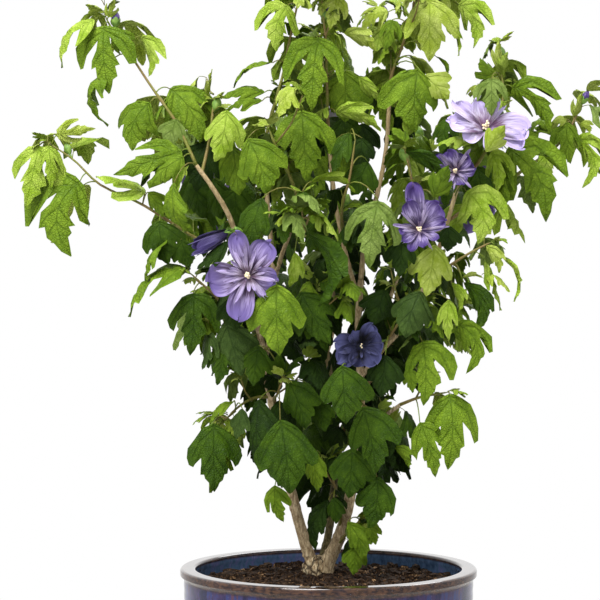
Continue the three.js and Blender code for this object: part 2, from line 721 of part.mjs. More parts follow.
// The shoots of a mass: its own stem, and side twigs set round it that curve upwards.
function shootsOf(mass) {
  const shoots = [{ course: mass.course, radii: [3, 1.7], bare: mass.bare }];
  for (let j = 0; j < mass.twigs; j++) {
    const t = 0.2 + (0.72 * (j + 0.5)) / mass.twigs;
    const start = placeOn(mass.course, t);
    const along = mass.course.curve.getTangent(t);
    const [first, second] = across(along);
    const angle = mass.turn + 1.3 + j * goldenTurn;
    const aim = first.multiplyScalar(Math.cos(angle)).addScaledVector(second, Math.sin(angle))
      .addScaledVector(along, 0.55).normalize();
    for (const share of [1, 0.75, 0.5]) {
      const length = mass.twigLength * share * (0.85 + 0.3 * chance(mass.turn * 9 + j));
      const middle = start.clone().addScaledVector(aim, length * 0.55);
      const tip = start.clone().addScaledVector(aim, length * 0.93).addScaledVector(up, length * 0.22);
      const course = courseThrough([start, middle, tip], twigStep);
      const passed = [0.3, 0.5, 0.75, 1].map((s) => placeOn(course, s));
      if (inOwnSpace(mass, passed, 3) && !touchesLimb(passed, 3) && !hidesFlower(passed)) {
        shoots.push({ course, radii: [1.45, 1.45], bare: 16 });
        break;
      }
    }
  }
  return shoots;
}

// A stalk from the nearest point of a mass's own stem to the back of a flower.
function stalkTo(mass, flower) {
  const back = vector(flower.at).addScaledVector(vector(flower.facing).normalize(), -0.16 * flower.across);
  let start = placeOn(mass.course, 0.3);
  for (let i = 6; i <= 20; i++) {
    const point = placeOn(mass.course, i / 20);
    if (point.distanceTo(back) < start.distanceTo(back)) start = point;
  }
  const middle = start.clone().lerp(back, 0.5).addScaledVector(up, -6);
  return courseThrough([start, middle, vector(flower.at)], twigStep);
}

// A flower: a cup with five broad lobes, raised in the middle where the small inner petals are.
// The less it is open, the narrower its cup.
function flowerSolid(flower) {
  const facing = vector(flower.facing).normalize();
  const [first, second] = across(facing);
  const centre = vector(flower.at);
  const reach = flower.across / 2;
  const cup = THREE.MathUtils.lerp(1.2, 0.2, flower.open);
  const points = [centre.clone().addScaledVector(facing, 0.3 * reach),
    centre.clone().addScaledVector(facing, -0.12 * reach)];
  const faces = [];
  const lobe = [[0.55, 0], [0.98, 0.36], [1, 0.9]]; // share of the reach and angle of its points
  for (let k = 0; k < 5; k++) {
    for (const [share, turn] of lobe) {
      const angle = (2 * Math.PI * k) / 5 + 0.3 + turn;
      const outward = first.clone().multiplyScalar(Math.cos(angle))
        .addScaledVector(second, Math.sin(angle));
      points.push(centre.clone().addScaledVector(outward, share * reach * Math.cos(cup))
        .addScaledVector(facing, share * reach * Math.sin(cup)));
    }
  }
  const edge = 5 * lobe.length;
  for (let i = 0; i < edge; i++) {
    const a = 2 + i;
    const b = 2 + ((i + 1) % edge);
    faces.push([0, a, b], [1, b, a]);
  }
  return solidFrom(points, faces);
}

// A bud: a short stalk and a pointed oval, in the angle between a leaf and its shoot.
function budSolid(leaf, along) {
  const aim = leaf.aim.clone().lerp(along, 0.6).addScaledVector(up, 0.3).normalize();
  const bud = new THREE.OctahedronGeometry(1, 0).scale(5.2, 5.2, 10.5);
  const turn = new THREE.Quaternion().setFromUnitVectors(up, aim);
  bud.applyQuaternion(turn).translate(...leaf.foot.clone().addScaledVector(aim, 13).toArray());
  return solidOf(bud);
}

// Every limb and then every mass is cut clear of the limbs made before it.
const nodes = [
  { name: "pot", solid: lathe(potProfile(), pot.sides), finish: colours.glaze },
  { name: "soil", solid: soilSolid(), finish: colours.soil },
  { name: "trunk", solid: trunkSolid(), finish: colours.bark },
];
const cutters = [trunkSolid(clearance * 1.4)];
for (const limb of limbs) {
  const course = limbCourses[limb.name];
  const whole = taperedTube(course, limb.radius, limb.sides);
  const solid = cutters.reduce((left, cutter) => left.subtract(cutter), whole);
  nodes.push({ name: limb.name, solid: wholeOf(solid), finish: colours.bark });
  cutters.push(taperedTube(course, limb.radius, limb.sides, clearance));
}
for (const [number, mass] of masses.entries()) {
  const parts = [];
  const shoots = shootsOf(mass);
  const stalks = mass.flowers.map((flower) => stalkTo(mass, flower));
  for (const { places } of [...shoots.map((shoot) => shoot.course), ...stalks]) {
    for (let i = 1; i < places.length; i++) mass.twigLines.push(new THREE.Line3(places[i - 1], places[i]));
  }
  shoots.forEach((shoot, j) => {
    parts.push(taperedTube(shoot.course, shoot.radii, 3));
    const leaves = leavesAlong(mass, shoot, number * 3.7 + j * 1.9);
    for (const leaf of leaves) parts.push(leafSolid(leaf));
    if (j === 0 && placeOn(mass.course, 1).z > budsAbove) {
      parts.push(budSolid(leaves[leaves.length - 2], shoot.course.curve.getTangent(0.9)));
    }
  });
  for (const stalk of stalks) parts.push(taperedTube(stalk, [1.2, 1.9], 3));
  for (const flower of mass.flowers) parts.push(flowerSolid(flower));
  const fused = cutters.reduce((left, cutter) => left.subtract(cutter), wasm.Manifold.union(parts));
  nodes.push({ name: mass.name, solid: wholeOf(fused), finish: colours.foliage });
}

const shrub = new THREE.Group();
for (const { name, solid, finish } of nodes) {
  const mesh = new THREE.Mesh(geometryOf(solid), new THREE.MeshStandardMaterial(finish));
  mesh.name = name;
  shrub.add(mesh);
}

export default shrub;
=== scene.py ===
import math

import bpy
import numpy as np
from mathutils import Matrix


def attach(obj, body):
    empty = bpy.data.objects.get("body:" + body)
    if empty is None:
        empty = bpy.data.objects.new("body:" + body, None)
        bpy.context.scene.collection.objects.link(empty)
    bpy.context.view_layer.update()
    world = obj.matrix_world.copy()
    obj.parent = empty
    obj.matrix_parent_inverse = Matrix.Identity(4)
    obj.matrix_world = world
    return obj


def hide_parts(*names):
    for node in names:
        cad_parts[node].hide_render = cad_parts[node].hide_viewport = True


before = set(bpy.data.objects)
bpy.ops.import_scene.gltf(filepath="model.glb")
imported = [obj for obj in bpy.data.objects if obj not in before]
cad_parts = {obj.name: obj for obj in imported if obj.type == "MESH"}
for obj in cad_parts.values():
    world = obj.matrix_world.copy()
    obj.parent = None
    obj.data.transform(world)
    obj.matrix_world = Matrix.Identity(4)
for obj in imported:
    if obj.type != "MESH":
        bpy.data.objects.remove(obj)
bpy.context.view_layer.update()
print("frame loaded:", len(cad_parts), "nodes")

# Lengths are in millimetres until a mesh is made. +Z is up and the front faces -Y.
up = np.array([0.0, 0.0, 1.0])
sideReference = np.array([0.31, -0.45, 0.84])
goldenTurn = math.pi * (3 - math.sqrt(5))
# The camera's place and the width that it sees at the pot's middle, both in metres
view = {"at": (-0.033, -2.230, 0.609), "sensor": 36.0, "seenWidth": 0.696}
eye = np.array(view["at"]) * 1000

pot = {
    "height": 300, "footRadius": 136, "waistRadius": 168, "rimRadius": 172, "rimWidth": 18,
    "rimDepth": 9, "rimRound": 3, "wall": 12, "floor": 15, "footBevel": 3,
    "rings": 0.22,  # height of the marks left by turning
    "oval": 0.0016,  # how far it is from round
}
soil = {"belowRim": 20, "mound": 7, "plateau": 46, "rough": 3.4, "sunk": 0.8}
soilTop = pot["height"] - soil["belowRim"] + soil["mound"]
trunk = {
    "x": -12, "y": 15,
    "rings": ((-5, 15, 13), (0, 15.8, 13.6), (4, 17, 14.6), (9, 17, 14), (14, 16, 12.8),
              (19, 14.6, 11.2), (22, 10.6, 7.6)),  # height over the soil and half widths
    "roots": 7, "rootDepth": 0.12, "rootHeight": 24, "top": 2.5, "lift": 0.36,
    "knobs": 3.0, "knobLength": 13.0, "grain": 0.7, "grainLength": 5.0,
}
bark = {
    "rowLength": 2.2, "sides": 26, "relief": 0.04, "reliefLength": 9.0, "fissure": 0.035,
    "fissureLength": 3.6, "uneven": 0.05, "unevenLength": 34.0, "nodeEvery": 31, "nodeHeight": 0.2,
    "nodeLength": 2.6, "flare": 0.24, "flareLength": 16,
}

# The growing rule's own settings, the same as the solids'. A leaf that doesn't fit is tried again
# with a further swing, a steeper hang and a shorter blade.
rule = {
    "petiole": 0.22, "untested": 0.35, "plainBelow": 0.4, "footDepth": 1.5, "thickness": 0.024,
    "lobeAt": 0.46, "lobeReach": 0.44, "shoulderAt": (0.68, 0.56), "shoulderReach": (0.27, 0.15),
    "bendAt": 0.44, "fold": 0.07, "steps": 12, "limbStep": 50, "twigStep": 55,
    "spaceMargin": 1.6, "limbMargin": 3.2, "leafGap": 7, "budsAbove": 770, "tries": 24,
    "swing": 0.52, "steeper": 0.1, "shorter": 0.022, "droop": (0.12, 1.25),
    "spread": (0.85, 0.42, 0.12),  # how far a leaf points outward, along its shoot and up
    "stemRadii": (2.1, 0.95), "twigRadii": (1.2, 0.8), "spurRadii": (0.95, 0.7), "twigBare": 16,
    "twigsFrom": 0.2, "twigsOver": 0.72, "twigTurn": 1.3, "twigForward": 0.55, "twigRise": 0.22,
    "atPetals": (0.2, 0.58), "beforeFlower": (0.9, 0.3),  # how deep and how wide it stays free
}

# Stems and boughs: the limb each grows from and how far along it, its radius at foot and tip, and
# the points it passes through
limbColumns = ("name", "start", "radius", "points")
limbs = [dict(zip(limbColumns, row)) for row in (
    ("stem_left", None, (7.6, 3.9), (
        (-16, 16, 294), (-28, 12, 329), (-43, 4, 386), (-60, -2, 464), (-71, 0, 518), (-77, 8, 557))),
    ("stem_right", None, (8.6, 3.3), (
        (-6, 12, 294), (11, 6, 329), (23, -2, 371), (32, -9, 430), (37, -12, 505), (34, -12, 574),
        (37, -14, 632))),
    ("stem_back", None, (5.4, 3.1), (
        (-10, 24, 294), (1, 40, 335), (9, 58, 407), (10, 72, 470), (-2, 98, 555))),
    ("bough_left", ("stem_left", 1), (3.5, 2.4), (
        (-92, -12, 621), (-109, -40, 692), (-128, -55, 730), (-150, -60, 761))),
    ("bough_tall_left", ("stem_left", 0.9), (3.2, 2.5), (
        (-66, 20, 580), (-64, 22, 640), (-70, 22, 710), (-76, 18, 784))),
    ("bough_centre_left", ("bough_tall_left", 0.45), (2.7, 2.2), (
        (-54, -8, 661), (-42, -28, 693), (-34, -36, 723))),
    ("bough_tall_right", ("stem_right", 1), (3, 2.4), (
        (43, -8, 684), (58, 2, 737), (67, 8, 784), (72, 8, 853))),
    ("bough_mid_top", ("stem_right", 0.93), (2.8, 2.2), (
        (20, -22, 660), (7, -24, 725), (-1, -20, 804))),
    ("bough_right", ("stem_right", 0.7), (3.2, 2.3), (
        (59, -22, 549), (81, -30, 575), (110, -34, 626), (133, -28, 689), (148, -22, 740))),
    ("bough_low_right", ("stem_right", 0.48), (2.6, 2), (
        (56, -28, 468), (81, -44, 490))),
    ("bough_back_left", ("stem_back", 1), (2.9, 2.3), (
        (-45, 120, 609), (-82, 130, 670))),
    ("bough_back_mid", ("stem_back", 0.97), (2.8, 2.2), (
        (8, 112, 580), (6, 116, 640), (4, 118, 707))),
    ("bough_back_right", ("stem_back", 0.8), (2.9, 2.3), (
        (45, 106, 555), (72, 120, 600), (90, 128, 646))),
)]
# Masses of foliage: the limb each grows from and how far along it, how much of its stem stays bare,
# its side twigs and their length, its blades' length at its foot, how deeply they are cut, how
# steeply they hang, the turn of the first, their spacing, how light they are, from 0, the darkest
# green, to 1, yellow-green, and the points its stem passes through
massColumns = ("name", "start", "bare", "twigs", "twigLength", "leaf", "cut", "hang", "turn", "spacing",
               "tone", "path")
masses = [dict(zip(massColumns, row)) for row in (
    ("spray_far_left", ("bough_left", 0.42), 55, 0, 0, 105, 0.9, 1.5, 0.28, 34, 0.72, (
        (-142, -34, 675), (-181, -40, 698), (-215, -44, 719), (-260, -46, 740), (-290, -46, 768),
        (-320, -44, 788))),
    ("spray_upper_left", ("bough_left", 1), 20, 0, 0, 110, 0.9, 1.8, 0.39, 23, 0.8, (
        (-166, -56, 796), (-177, -52, 816), (-203, -46, 853), (-226, -42, 888), (-252, -38, 926),
        (-256, -38, 945))),
    ("mass_mid_left", ("bough_left", 0.82), 20, 3, 69, 84, 0.6, 1.4, 0.39, 16, 0.55, (
        (-150, -86, 752), (-180, -96, 772), (-212, -98, 778))),
    ("mass_left_top", ("bough_left", 0.93), 14, 3, 48, 82, 0.45, 2.4, 1.57, 15, 0.68, (
        (-136, -44, 792), (-132, -38, 830), (-131, -30, 866))),
    ("spray_tall_left", ("bough_tall_left", 1), 34, 0, 0, 92, 0.9, 1.6, 5.61, 17, 0.74, (
        (-68, 16, 819), (-53, 10, 871), (-45, 6, 911), (-35, 2, 957), (-29, 0, 992))),
    ("mass_centre_left", ("bough_centre_left", 1), 10, 4, 60, 90, 0.35, 2.3, 4.71, 16, 0.66, (
        (-46, -58, 752), (-62, -72, 786), (-76, -74, 822))),
    ("mass_mid_top", ("bough_mid_top", 1), 8, 2, 48, 88, 0.8, 2.3, 5.89, 15, 0.82, (
        (-2, -28, 850), (-4, -34, 906), (-8, -34, 952))),
    ("mass_tall_right", ("bough_tall_right", 1), 6, 3, 78, 88, 0.6, 1.9, 0.93, 21, 0.84, (
        (74, 4, 872), (88, 0, 911), (97, -4, 944), (107, -6, 984))),
    ("mass_right_top", ("bough_right", 1), 14, 2, 50, 78, 0.7, 2.3, 0.39, 17, 0.56, (
        (178, -34, 777), (195, -36, 826), (199, -34, 849), (194, -30, 900))),
    ("spray_far_right", ("bough_right", 0.84), 26, 1, 36, 80, 0.85, 1.5, 5.11, 25, 0.68, (
        (180, 0, 728), (235, 10, 766), (270, 12, 792), (288, 12, 821), (296, 10, 846))),
    ("mass_right_mid", ("bough_right", 0.6), 12, 2, 52, 84, 0.75, 2.3, 0, 15, 0.7, (
        (132, -62, 645), (158, -70, 662), (186, -72, 676))),
    ("mass_right_inner", ("bough_right", 0.8), 12, 3, 52, 86, 0.5, 1.9, 0.65, 16, 0.5, (
        (112, -56, 690), (96, -76, 730), (84, -84, 776))),
    ("mass_centre", ("bough_mid_top", 0.4), 12, 3, 45, 86, 0.5, 2, 0.79, 16, 0.5, (
        (14, -66, 712), (22, -92, 744), (28, -104, 786))),
    ("mass_centre_inner", ("bough_centre_left", 0.62), 12, 3, 58, 84, 0.5, 1.6, 1.43, 15, 0.46, (
        (-36, -52, 690), (-26, -84, 694), (-22, -106, 708))),
    ("mass_low_right", ("bough_low_right", 1), 8, 2, 43, 92, 0.45, 1.7, 2.36, 12, 0.62, (
        (103, -56, 499), (134, -60, 505))),
    ("mass_right_low_inner", ("stem_right", 0.62), 14, 3, 46, 92, 0.4, 2.1, 4.46, 16, 0.36, (
        (58, -34, 545), (78, -56, 582), (98, -66, 606))),
    ("mass_foot_right", ("stem_right", 0.36), 8, 4, 40, 88, 0.3, 3, 5.89, 14, 0.3, (
        (44, -26, 440), (54, -44, 466), (58, -58, 494))),
    ("mass_foot_left", ("stem_left", 0.62), 8, 3, 53, 103, 0.25, 2, 0.28, 15, 0.2, (
        (-62, -32, 494), (-58, -52, 504), (-52, -64, 520))),
    ("mass_low_left", ("stem_left", 0.72), 16, 2, 40, 92, 0.5, 2.8, 3.53, 13, 0.58, (
        (-86, -14, 496), (-104, -24, 486), (-120, -30, 470))),
    ("mass_left_mid", ("bough_left", 0.12), 10, 3, 45, 88, 0.55, 2.4, 0.65, 15, 0.48, (
        (-112, -24, 596), (-134, -44, 618), (-158, -52, 640))),
    ("mass_flower_left", ("bough_left", 0.32), 8, 2, 32, 84, 0.4, 2.1, 0.67, 14, 0.4, (
        (-94, -62, 640), (-88, -84, 658))),
    ("mass_centre_low", ("stem_left", 0.96), 12, 3, 63, 101, 0.35, 2.3, 0.25, 15, 0.36, (
        (-50, -36, 572), (-30, -62, 592), (-14, -76, 622))),
    ("spray_foot", ("stem_right", 0.2), 8, 0, 0, 46, 0.3, 1.6, 3.93, 15, 0.14, (
        (14, -14, 372), (6, -22, 398), (2, -28, 426))),
    ("spray_sucker", ("stem_right", 0.12), 14, 0, 0, 56, 0.3, 3, 5.39, 11, 0.66, (
        (26, -14, 346), (38, -24, 356))),
    ("mass_foot_back", ("stem_back", 0.5), 8, 3, 35, 96, 0.3, 2, 1.57, 29, 0.46, (
        (20, 94, 452), (24, 116, 478), (14, 134, 508))),
    ("mass_back_left_low", ("bough_back_left", 0.4), 12, 3, 56, 88, 0.5, 2.1, 0, 29, 0.46, (
        (-64, 112, 580), (-104, 108, 590), (-138, 96, 612))),
    ("mass_back_left", ("bough_back_left", 1), 10, 4, 80, 99, 0.6, 2.3, 4.43, 33, 0.46, (
        (-112, 138, 716), (-146, 140, 764), (-178, 132, 812))),
    ("mass_back_low", ("bough_back_mid", 0.5), 12, 3, 73, 88, 0.45, 2.1, 2.36, 23, 0.46, (
        (10, 150, 640), (14, 182, 668), (10, 206, 706))),
    ("mass_back_top", ("bough_back_mid", 1), 12, 4, 62, 86, 0.7, 2.3, 1.57, 33, 0.46, (
        (6, 124, 760), (2, 126, 818), (-4, 120, 880), (-2, 116, 930))),
    ("mass_back_right", ("bough_back_right", 1), 12, 4, 80, 99, 0.6, 2.3, 2.64, 35, 0.46, (
        (122, 138, 700), (146, 138, 762), (168, 128, 824))),
    ("mass_back_right_low", ("bough_back_right", 0.42), 16, 3, 54, 88, 0.5, 2.1, 4.32, 29, 0.46, (
        (84, 96, 556), (122, 96, 572), (154, 84, 600))),
)]
# Flowers: the mass each grows on, its tint, its middle, the way it faces, its width, how far it is
# open, from 0 to 1, and which of the shapes seen from the front it has
flowerColumns = ("mass", "tint", "at", "facing", "across", "open", "shape")
flowers = [dict(zip(flowerColumns, row)) for row in (
    ("mass_mid_left", "deep", (-138, -102, 676), (-0.95, -0.25, -0.2), 58, 0.22, "closed"),
    ("mass_mid_top", "pale", (-10, -42, 976), (0.1, -0.55, 0.83), 78, 0.75, None),
    ("mass_right_top", "pale", (184, -88, 812), (0.1, -0.8, 0.55), 92, 0.85, "wide"),
    ("mass_right_top", "violet", (142, -78, 758), (-0.1, -0.95, 0.1), 66, 0.6, "rumpled"),
    ("mass_right_inner", "violet", (104, -118, 702), (-0.1, -0.98, 0.1), 80, 0.5, "folding"),
    ("mass_right_low_inner", "deep", (36, -92, 560), (0.05, -0.99, 0.1), 62, 0.4, "withering"),
    ("mass_flower_left", "violet", (-96, -122, 636), (-0.12, -0.99, 0.05), 92, 1, "open"),
    ("mass_back_left", "violet", (-150, 186, 742), (-0.5, 0.85, 0.15), 86, 0.9, None),
    ("mass_back_top", "pale", (10, 176, 806), (0.2, 0.93, 0.3), 82, 0.8, None),
    ("mass_back_right", "violet", (176, 168, 742), (0.65, 0.75, 0.1), 84, 0.9, None),
)]


# A number from 0 to 1 that is the same each time for the same key.
def chance(key):
    wave = np.sin(np.asarray(key, float) * 12.9898 + 4.1414) * 43758.5453
    return wave - np.floor(wave)


def unit(vectors):
    return vectors / np.linalg.norm(vectors, axis=-1, keepdims=True)


def dot(a, b):
    return np.sum(a * b, axis=-1, keepdims=True)


# Two directions square to the given ones and to each other.
def acrossOf(direction):
    first = unit(np.cross(direction, sideReference))
    return first, unit(np.cross(direction, first))


# The direction square to a way that is turned about it by an angle
def aroundWay(along, angle):
    first, second = acrossOf(along)
    return first * math.cos(angle) + second * math.sin(angle)


# A vector turned by an angle about an axis of length one.
def turned(vector, axis, angle):
    angle = np.asarray(angle, float)[..., None]
    along = axis * dot(axis, vector) * (1 - np.cos(angle))
    return vector * np.cos(angle) + np.cross(axis, vector) * np.sin(angle) + along


# A smooth curve through points: between two of them a cubic whose slope at each point is half
# the step from the point before it to the point after it. t runs from 0 to 1.
def curveAt(points, t):
    points = np.asarray(points, float)
    last = len(points) - 1
    place = np.clip(np.atleast_1d(t), 0, 1) * last
    index = np.minimum(np.floor(place).astype(int), last - 1)
    w = (place - index)[:, None]
    ends = np.vstack([2 * points[0] - points[1], points, 2 * points[-1] - points[-2]])
    before, start, end, after = (ends[index + k] for k in range(4))
    slopeIn = 0.5 * (end - before)
    slopeOut = 0.5 * (after - start)
    return (start + slopeIn * w + (3 * (end - start) - 2 * slopeIn - slopeOut) * w**2
            + (2 * (start - end) + slopeIn + slopeOut) * w**3)


def headingAt(points, t):
    t = np.atleast_1d(t)
    return unit(curveAt(points, np.minimum(t + 1e-4, 1)) - curveAt(points, np.maximum(t - 1e-4, 0)))


# A curve together with the straight stretches that the solids use in its place.
def courseThrough(points, step):
    points = np.asarray(points, float)
    walked = curveAt(points, np.arange(201) / 200)
    length = float(np.sum(np.linalg.norm(np.diff(walked, axis=0), axis=1)))
    count = max(2, math.floor(length / step + 0.5))
    places = curveAt(points, np.arange(count + 1) / count)
    return {"points": points, "length": length, "count": count, "places": places}


def placeOn(course, t):
    below = min(math.floor(t * course["count"]), course["count"] - 1)
    part = t * course["count"] - below
    return course["places"][below] * (1 - part) + course["places"][below + 1] * part


# The straight stretches of several ways: their starts and their ends
def stretchesOf(ways):
    return np.vstack([way[:-1] for way in ways]), np.vstack([way[1:] for way in ways])


# The distance of every point from every straight stretch
def distances(points, starts, ends):
    run = ends - starts
    offset = points[:, None] - starts[None]
    share = np.clip(np.einsum("nmk,mk->nm", offset, run) / np.einsum("mk,mk->m", run, run), 0, 1)
    return np.linalg.norm(offset - share[..., None] * run, axis=2)


# A leaf's midrib: from the end of the petiole it turns towards the ground as it goes. At each
# station there are a place, the direction across the blade and the one square to it.
def stationsOf(foot, aim, length, hang, roll):
    steps = rule["steps"]
    level = np.cross(aim, up)
    narrow = np.linalg.norm(level, axis=1) < 0.2
    if narrow.any():
        level[narrow] = acrossOf(aim[narrow])[0]
    level = unit(level)
    s = np.arange(steps + 1) / steps
    atFoot, towardsTip = rule["droop"]
    along = unit(aim[:, None] - up * (hang[:, None] * (atFoot + towardsTip * s))[..., None])
    stride = along * (length / steps)[:, None, None]
    stride[:, 0] = 0
    place = (foot + aim * (length * rule["petiole"])[:, None])[:, None] + np.cumsum(stride, axis=1)
    wide = turned(np.broadcast_to(level[:, None], along.shape), along, roll[:, None])
    wide = unit(wide - along * dot(wide, along))
    return place, wide, unit(np.cross(wide, along))


# A point of the blade: a share of the way along the midrib, then sideways and up from it in
# shares of the blade's length.
def bladePoint(stations, length, share, sideways, lift):
    place, wide, out = stations
    below = np.minimum(np.floor(share * rule["steps"]).astype(int), rule["steps"] - 1)
    part = (share * rule["steps"] - below)[..., None]
    here = below[..., None]
    start = np.take_along_axis(place, here, axis=1)
    end = np.take_along_axis(place, here + 1, axis=1)
    scale = length[:, None, None]
    return (start * (1 - part) + end * part
            + np.take_along_axis(wide, here, axis=1) * sideways[..., None] * scale
            + np.take_along_axis(out, here, axis=1) * lift[..., None] * scale)


def simpleBlade(leaf):
    cut = leaf["cut"]
    length = np.array([leaf["length"]])
    stations = stationsOf(leaf["foot"][None], leaf["aim"][None], length,
                          np.array([leaf["hang"]]), np.array([leaf["roll"]]))
    at, reach, fold, half = rule["lobeAt"], rule["lobeReach"], rule["fold"], rule["thickness"] / 2
    shoulderAt = rule["shoulderAt"][0] + (rule["shoulderAt"][1] - rule["shoulderAt"][0]) * cut
    shoulder = rule["shoulderReach"][0] + (rule["shoulderReach"][1] - rule["shoulderReach"][0]) * cut
    edge = [(at, -reach, -fold), (1, 0, 0), (at, reach, -fold)]
    if cut >= rule["plainBelow"]:
        edge.insert(2, (shoulderAt, shoulder, -fold * 0.4))
        edge.insert(1, (shoulderAt, -shoulder, -fold * 0.4))
    corners = np.array([(rule["bendAt"], 0, half), (rule["bendAt"], 0, -half), *edge], float)[None]
    blade = bladePoint(stations, length, corners[..., 0], corners[..., 1], corners[..., 2])[0]
    root = stations[2][0, 0] * rule["footDepth"] / 2
    return np.vstack([leaf["foot"] + root, leaf["foot"] - root, blade])


sampleShares = np.array([(1 - p - q, p, q) for p in (0.25, 0.5, 0.75) for q in (0.25, 0.5, 0.75)
                         if p + q <= 1])


# Points spread over a blade, with which it is tested. Its foot starts inside a shoot, so that
# isn't tested.
def samplesOf(corners):
    last = len(corners) - 1
    faces = [(0, last, 2), (4, 0, 2)] + [(i + 1, i, 2) for i in range(4, last)]
    spread = np.einsum("sk,fkc->fsc", sampleShares, corners[np.array(faces)]).reshape(-1, 3)
    footLength = rule["untested"] * np.linalg.norm(corners[0] - corners[2])
    far = np.linalg.norm(spread - corners[0], axis=1) > footLength
    return np.vstack([corners[2:], spread[far]])


limbCourses = {}


# Where a bough or a mass leaves its limb
def startOf(item):
    limbName, along = item["start"]
    return placeOn(limbCourses[limbName], along)


for limb in limbs:
    foot = [startOf(limb)] if limb["start"] else []
    limbCourses[limb["name"]] = courseThrough([*foot, *limb["points"]], rule["limbStep"])


def limbRadius(limb, t):
    return limb["radius"][0] + (limb["radius"][1] - limb["radius"][0]) * np.power(t, 0.8)


limbStretches = stretchesOf([[placeOn(limbCourses[limb["name"]], i / 10) for i in range(11)] for limb in limbs])
limbRadii = np.concatenate([limbRadius(limb, (np.arange(10) + 0.5) / 10) for limb in limbs])

flowerAt = np.array([flower["at"] for flower in flowers], float)
flowerFacing = unit(np.array([flower["facing"] for flower in flowers], float))
flowerAcross = np.array([flower["across"] for flower in flowers], float)
for mass in masses:
    mass["flowers"] = [flower for flower in flowers if flower["mass"] == mass["name"]]
    mass["course"] = courseThrough([startOf(mass), *mass["path"]], rule["twigStep"])
    mass["own"] = stretchesOf([mass["course"]["places"]])
    mass["samples"] = []
for mass in masses:
    mass["others"] = stretchesOf([other["course"]["places"] for other in masses if other is not mass])


# A mass's space is all that lies nearer to its own stem than to any other mass's stem.
def inOwnSpace(mass, points, margin):
    own = distances(points, *mass["own"]).min(1)
    return bool(np.all(distances(points, *mass["others"]).min(1) > own + 2 * margin))


def touchesLimb(points, margin):
    if points[:, 2].min() < soilTop + 3:
        return True
    return bool(np.any(distances(points, *limbStretches) < limbRadii + margin))


# A flower keeps its petals and the air in front of it free of leaves.
def hidesFlower(points):
    offset = (points[:, None] - flowerAt) / flowerAcross[:, None]
    depth = np.sum(offset * flowerFacing, axis=2)
    sideways = np.linalg.norm(offset - depth[..., None] * flowerFacing, axis=2)
    deep, wide = rule["atPetals"]
    inPetals = (np.abs(depth) < deep) & (sideways < wide)
    deep, wide = rule["beforeFlower"]
    inFront = (depth > 0) & (depth < deep) & (sideways < wide)
    return bool(np.any(inPetals | inFront))


def meetsTwig(mass, points, gap):
    return bool(np.any(distances(points, *mass["wood"]) < gap))


def meetsLeaf(mass, points, gap):
    if not mass["samples"]:
        return False
    others = np.vstack(mass["samples"])
    apart = np.sum(points**2, 1)[:, None] + np.sum(others**2, 1) - 2 * points @ others.T
    return bool(apart.min() < gap * gap)


